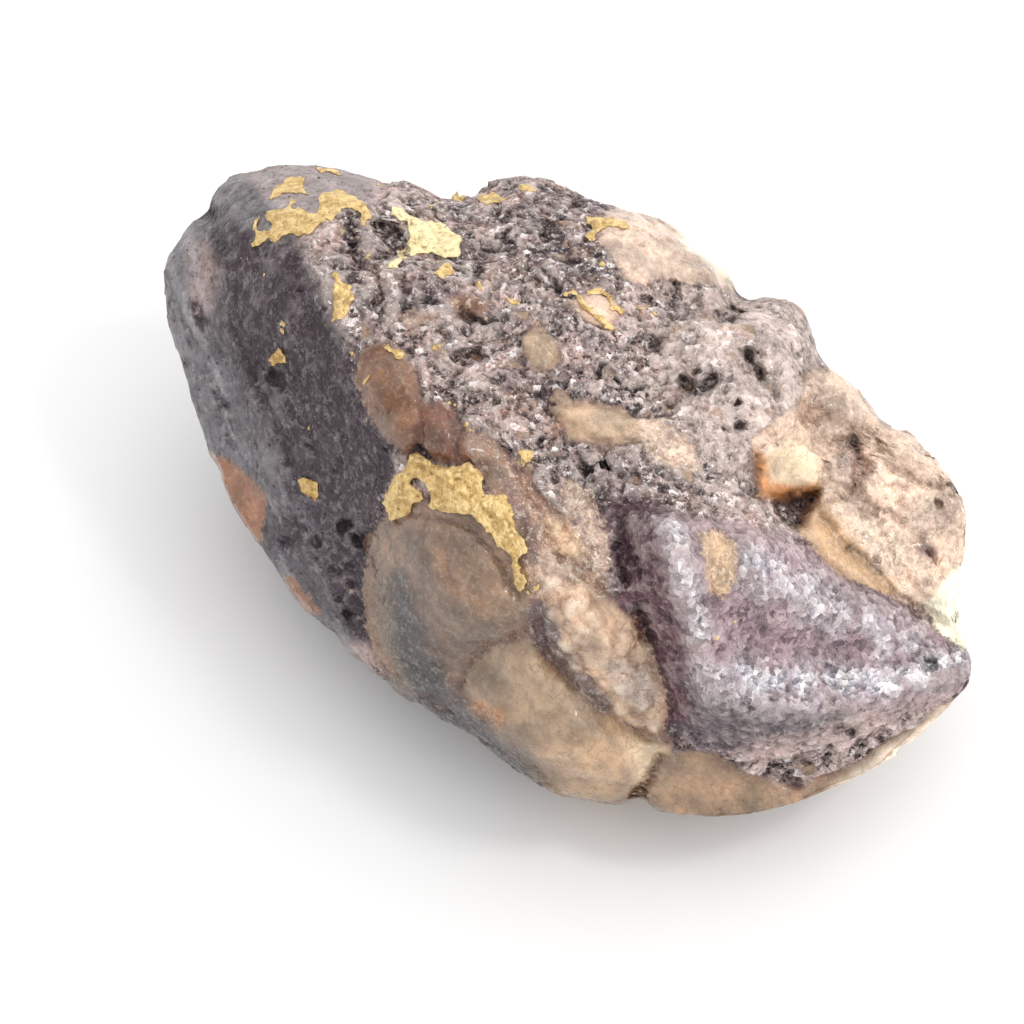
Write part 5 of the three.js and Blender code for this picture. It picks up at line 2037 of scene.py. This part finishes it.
@dataclass
class GoldFlake(Piece):
    """One gold leaf or flake, a crumpled sheet that lies on the rock."""

    form: FlakeForm
    seed: int
    step: float = 0.075
    margin: float = 4.0
    sink: float = 0.30
    least_rise: float = 0.03
    coarse_rag: Noise = Noise(0.6)
    coarse_rag_reach: float = 0.15
    fine_rag: Noise = Noise(0.26, 9.0)
    fine_rag_reach: float = 0.14
    crumple: Noise = Noise(0.8, 5.0, 3, 0.6)
    crumple_rise: float = 0.11
    fold: Noise = Noise(0.55, 15.0)
    crease_size: float = 0.55
    crease_shift: float = 25.0
    crumple_weights: Triple = (1.3, 1.2, 0.7)
    fold_width: float = 0.25
    round_edge: float = 0.3
    hole_rag: float = 0.3
    hole_inset: float = 0.05

    def build(self, ground: BVHTree) -> Object:
        """Builds the flake over its CAD node.

        Args:
            ground: The rock's finished surface.

        Returns:
            The gold piece.
        """
        grain = Grain(self.seed)
        build = self.cut_sheet(grain)
        self.lay(build, ground)
        self.thicken(build, grain)
        self.piece = finished(build, self.form.node.replace("gold_", "native_gold_"))
        cloud = MeshCloud(self.piece.data)
        # The folds attribute carries dirt and painted shade in the hollows of the sheet and along its
        # edge, with the flake's own darkening.
        hollow = smoothstep(-cloud.relief(4), 0.0, 0.05)
        rim = smoothstep(self.depth_inside(CHART.read(cloud.places), grain), 0.14, 0.0)
        cloud.store(folds=np.clip(hollow + 0.6 * rim + self.form.darkening, 0.0, 1.0),
                    paleness=self.form.pale)
        smooth_faces(self.piece.data)
        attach(self.piece, BODY)
        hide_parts(self.form.node)
        return self.piece

    def depth_inside(self, points: Array, grain: Grain) -> Array:
        """How deep chart points lie inside the flake's ragged outline.

        Args:
            points: Chart points.
            grain: The noise.

        Returns:
            Millimetres inside the outline, negative outside it.
        """
        flat = np.column_stack([points * CHART.unit, np.zeros(len(points))])
        ragged = (self.coarse_rag_reach * grain.layers(flat, self.coarse_rag)
                  + self.fine_rag_reach * grain.layers(flat, self.fine_rag))
        depth = outline_depth(points, self.form.outline) + ragged + self.form.spread
        if self.form.hole:
            depth = np.minimum(depth, self.hole_rag * ragged + self.hole_inset
                               - outline_depth(points, self.form.hole))
        return depth

    def cut_sheet(self, grain: Grain) -> bmesh.types.BMesh:
        """Cuts a fine flat sheet to the flake's outline, on the chart.

        Args:
            grain: The noise.

        Returns:
            The sheet.
        """
        corners = np.array(self.form.outline, float)
        low, high = corners.min(axis=0) - self.margin, corners.max(axis=0) + self.margin
        span = high - low
        middle = (low + high) / 2.0
        cells = [max(4, round(length * CHART.unit / self.step)) for length in span]
        build = bmesh.new()
        bmesh.ops.create_grid(build, x_segments=cells[0], y_segments=cells[1], size=0.5)
        bmesh.ops.scale(build, vec=(*span, 1.0), verts=build.verts)
        bmesh.ops.translate(build, vec=(*middle, 0.0), verts=build.verts)
        depth = self.depth_inside(np.array([vert.co[:2] for vert in build.verts]), grain)
        outside = [vert for vert, inside in zip(build.verts, depth) if inside < 0.0]
        bmesh.ops.delete(build, geom=outside, context="VERTS")
        loose = [vert for vert in build.verts if not vert.link_faces]
        bmesh.ops.delete(build, geom=loose, context="VERTS")
        relax(build, [vert for vert in build.verts if vert.is_boundary], rounds=2, level=True)
        return build

    def lay(self, build: bmesh.types.BMesh, ground: BVHTree) -> None:
        """Lays the sheet on the rock, where it bridges the small hollows.

        Args:
            build: The sheet.
            ground: The rock's finished surface.
        """
        missed = []
        for vert in build.verts:
            spot = ground.ray_cast(*CHART.sight_line((vert.co.x, vert.co.y)))[0]
            if spot is None:
                missed.append(vert)
            else:
                vert.co = spot
        bmesh.ops.delete(build, geom=missed, context="VERTS")
        relax(build, build.verts, rounds=5)

    def thicken(self, build: bmesh.types.BMesh, grain: Grain) -> None:
        """Gives the sheet its thickness, thinner at its edges, and crumples it.

        Args:
            build: The sheet.
            grain: The noise.
        """
        outward = Vector(OUTWARD)
        sheet, under = list(build.faces), list(build.verts)
        made = bmesh.ops.extrude_face_region(build, geom=sheet, use_keep_orig=True)
        upper = [item for item in made["geom"] if isinstance(item, bmesh.types.BMVert)]
        places = np.array([vert.co for vert in upper]) / MM
        rounded = smoothstep(self.depth_inside(CHART.read(places), grain), 0.0, self.round_edge)
        forms = (grain.layers(places, self.crumple),
                 self.fold_width - np.abs(grain.layers(places, self.fold)),
                 grain.facets(places + self.crease_shift, self.crease_size))
        crumpled = sum(weight * form for weight, form in zip(self.crumple_weights, forms))
        height = self.form.edge + (self.form.lift - self.form.edge) * rounded
        height += self.crumple_rise * crumpled * (0.4 + 0.6 * rounded)
        for vert, rise in zip(upper, height):
            vert.co += outward * (max(rise, self.least_rise) * MM)
        for vert in under:
            vert.co -= outward * (self.sink * MM)
        bmesh.ops.recalc_face_normals(build, faces=build.faces)


@dataclass
class GoldCrumbs(Piece):
    """Small grains of gold scattered on the rock, in one mesh: where each lies and its radius."""

    name: str = "native_gold_crumbs"
    seed: int = 5
    least_stretch: float = 0.7
    more_stretch: float = 0.7
    flatness: float = 0.5
    roughness: float = 0.4
    folds: float = 0.15
    paleness: float = 0.2
    spots: tuple[Triple, ...] = (
        (434, 348, 0.16), (438, 346, 0.12), (455, 405, 0.14), (466, 425, 0.18), (470, 430, 0.12),
        (309, 428, 0.12), (283, 324, 0.2), (282, 331, 0.16), (528, 592, 0.16), (536, 588, 0.2),
        (542, 598, 0.14), (378, 185, 0.16), (431, 207, 0.18), (368, 257, 0.2), (352, 354, 0.12),
        (264, 275, 0.09), (717, 638, 0.12), (735, 622, 0.09), (456, 199, 0.26), (462, 198, 0.2),
        (524, 188, 0.3), (531, 190, 0.22), (602, 264, 0.18), (449, 403, 0.14), (404, 258, 0.2),
        (640, 308, 0.14), (655, 314, 0.16), (438, 262, 0.16), (648, 306, 0.12),
    )

    def build(self, ground: BVHTree) -> Object:
        """Builds the crumbs where their sight lines meet the rock.

        Args:
            ground: The rock's finished surface.

        Returns:
            The crumbs' piece.
        """
        draw = np.random.default_rng(self.seed)
        build = bmesh.new()
        for x, y, radius in self.spots:
            spot, normal, _, _ = ground.ray_cast(*CHART.sight_line((x, y)))
            if spot is None:
                continue
            made = bmesh.ops.create_icosphere(build, subdivisions=2, radius=radius * MM)
            lean = normal.to_track_quat("Z", "Y").to_matrix()
            stretch = self.least_stretch + self.more_stretch * draw.random(2)
            for vert in made["verts"]:
                knock = 1.0 + self.roughness * draw.normal()
                vert.co = spot + lean @ Vector((vert.co.x * knock * stretch[0],
                                                vert.co.y * knock * stretch[1],
                                                vert.co.z * self.flatness * knock))
            relax(build, made["verts"], factor=0.4)
        bmesh.ops.recalc_face_normals(build, faces=build.faces)
        self.piece = finished(build, self.name)
        smooth_faces(self.piece.data)
        MeshCloud(self.piece.data).store(folds=self.folds, paleness=self.paleness)
        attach(self.piece, BODY)
        return self.piece


@dataclass(frozen=True)
class Studio:
    """The pale floor, the soft light and the camera."""

    floor_size: float = 3.0
    floor_level: float = -0.02
    floor_tone: float = 0.76
    floor_roughness: float = 0.9
    sky_tint: Triple = (0.98, 0.985, 1.0)
    sky_strength: float = 1.02
    lamp_tint: Triple = (1.0, 0.98, 0.95)
    lamp_distance: float = 0.60
    key_watts: float = 7.7
    key_size: float = 1.80
    key_direction: Triple = (0.58, 0.56, 0.59)
    glint_watts: float = 0.60
    glint_size: float = 0.10
    glint_direction: Triple = (0.54, 0.38, 0.75)
    sensor: float = 36.0
    clip_start: float = 0.01

    def build(self) -> None:
        """Builds the floor, the light and the camera."""
        self.add_floor()
        self.add_sky()
        self.add_lamp("Window", self.key_watts, self.key_size, self.key_direction)
        self.add_lamp("Bulb", self.glint_watts, self.glint_size, self.glint_direction)
        self.add_camera()

    def add_floor(self) -> None:
        """Lays the plain floor that the stone rests on."""
        build = bmesh.new()
        bmesh.ops.create_grid(build, x_segments=1, y_segments=1, size=self.floor_size / 2.0)
        bmesh.ops.translate(build, vec=(0.0, 0.0, self.floor_level * MM), verts=build.verts)
        floor = finished(build, "floor")
        floor.data.materials.append(Brush("Plain floor").shade(
            {"Base Color": (self.floor_tone,) * 3, "Roughness": self.floor_roughness}))

    def add_sky(self) -> None:
        """Adds the pale sky and the plain view."""
        scene = bpy.context.scene
        scene.world = bpy.data.worlds.new("Pale sky")
        scene.world.use_nodes = True
        sketch = Sketch(scene.world.node_tree)
        sketch.feed(sketch.tree.nodes["Background"],
                    {"Color": self.sky_tint, "Strength": self.sky_strength})
        scene.view_settings.view_transform = "Standard"

    def add_lamp(self, name: str, watts: float, size: float, direction: Triple) -> None:
        """Adds one square lamp that faces the stone.

        Args:
            name: The lamp's name.
            watts: Its power.
            size: Its side in metres.
            direction: Where it stands, as shares of the chart's right, up and outward axes.
        """
        lamp = bpy.data.lights.new(name, "AREA")
        lamp.energy = watts
        lamp.size = size
        lamp.color = self.lamp_tint
        away = Vector(sum(share * axis for share, axis in zip(direction, CHART.axes())))
        away.normalize()
        self.aim(placed(name, lamp), away * self.lamp_distance, away, "Z")

    def add_camera(self) -> None:
        """Adds the camera at the chart's sight point."""
        lens = bpy.data.cameras.new("Camera")
        lens.sensor_width = self.sensor
        lens.lens = self.sensor * CHART.sight_height / (CHART.frame_units * CHART.unit)
        half = CHART.frame_units / 2.0
        lens.shift_x = (half - CHART.middle[0]) / CHART.frame_units
        lens.shift_y = (CHART.middle[1] - half) / CHART.frame_units
        lens.clip_start = self.clip_start
        camera = placed("Camera", lens)
        self.aim(camera, *CHART.sight_line(CHART.middle), "-Z")
        bpy.context.scene.camera = camera

    @staticmethod
    def aim(holder: Object, location: Vector, direction: Vector, axis: str) -> None:
        """Stands a lamp or a camera at a place and turns one of its axes to a direction.

        Args:
            holder: The lamp or the camera.
            location: The place in metres.
            direction: The direction.
            axis: The axis that turns to it.
        """
        holder.location = location
        holder.rotation_mode = "QUATERNION"
        holder.rotation_quaternion = direction.to_track_quat(axis, "Y")


def surface_tree(piece: Object) -> BVHTree:
    """A search tree over a piece's mesh.

    Args:
        piece: The piece to search.

    Returns:
        The tree, in metres in the row's frame.
    """
    build = bmesh.new()
    build.from_mesh(piece.data)
    tree = BVHTree.FromBMesh(build)
    build.free()
    return tree


def main() -> None:
    """Builds the specimen, piece by piece."""
    logging.basicConfig(level=logging.INFO, format="%(message)s")
    Studio().build()
    rock = Rock()
    rock.build()
    rock.dress(StoneFinish().build(Effects()))
    ground = surface_tree(rock.piece)
    gold = GoldFinish().build()
    flakes = [GoldFlake(form, seed) for seed, form in enumerate(FLAKES)]
    crumbs = GoldCrumbs()
    for made in (*flakes, crumbs):
        made.build(ground)
        made.dress(gold)
    for made in (rock, *flakes, crumbs):
        log.info("%s: %d faces", made.piece.name, len(made.piece.data.polygons))


if __name__ == "__main__":
    main()
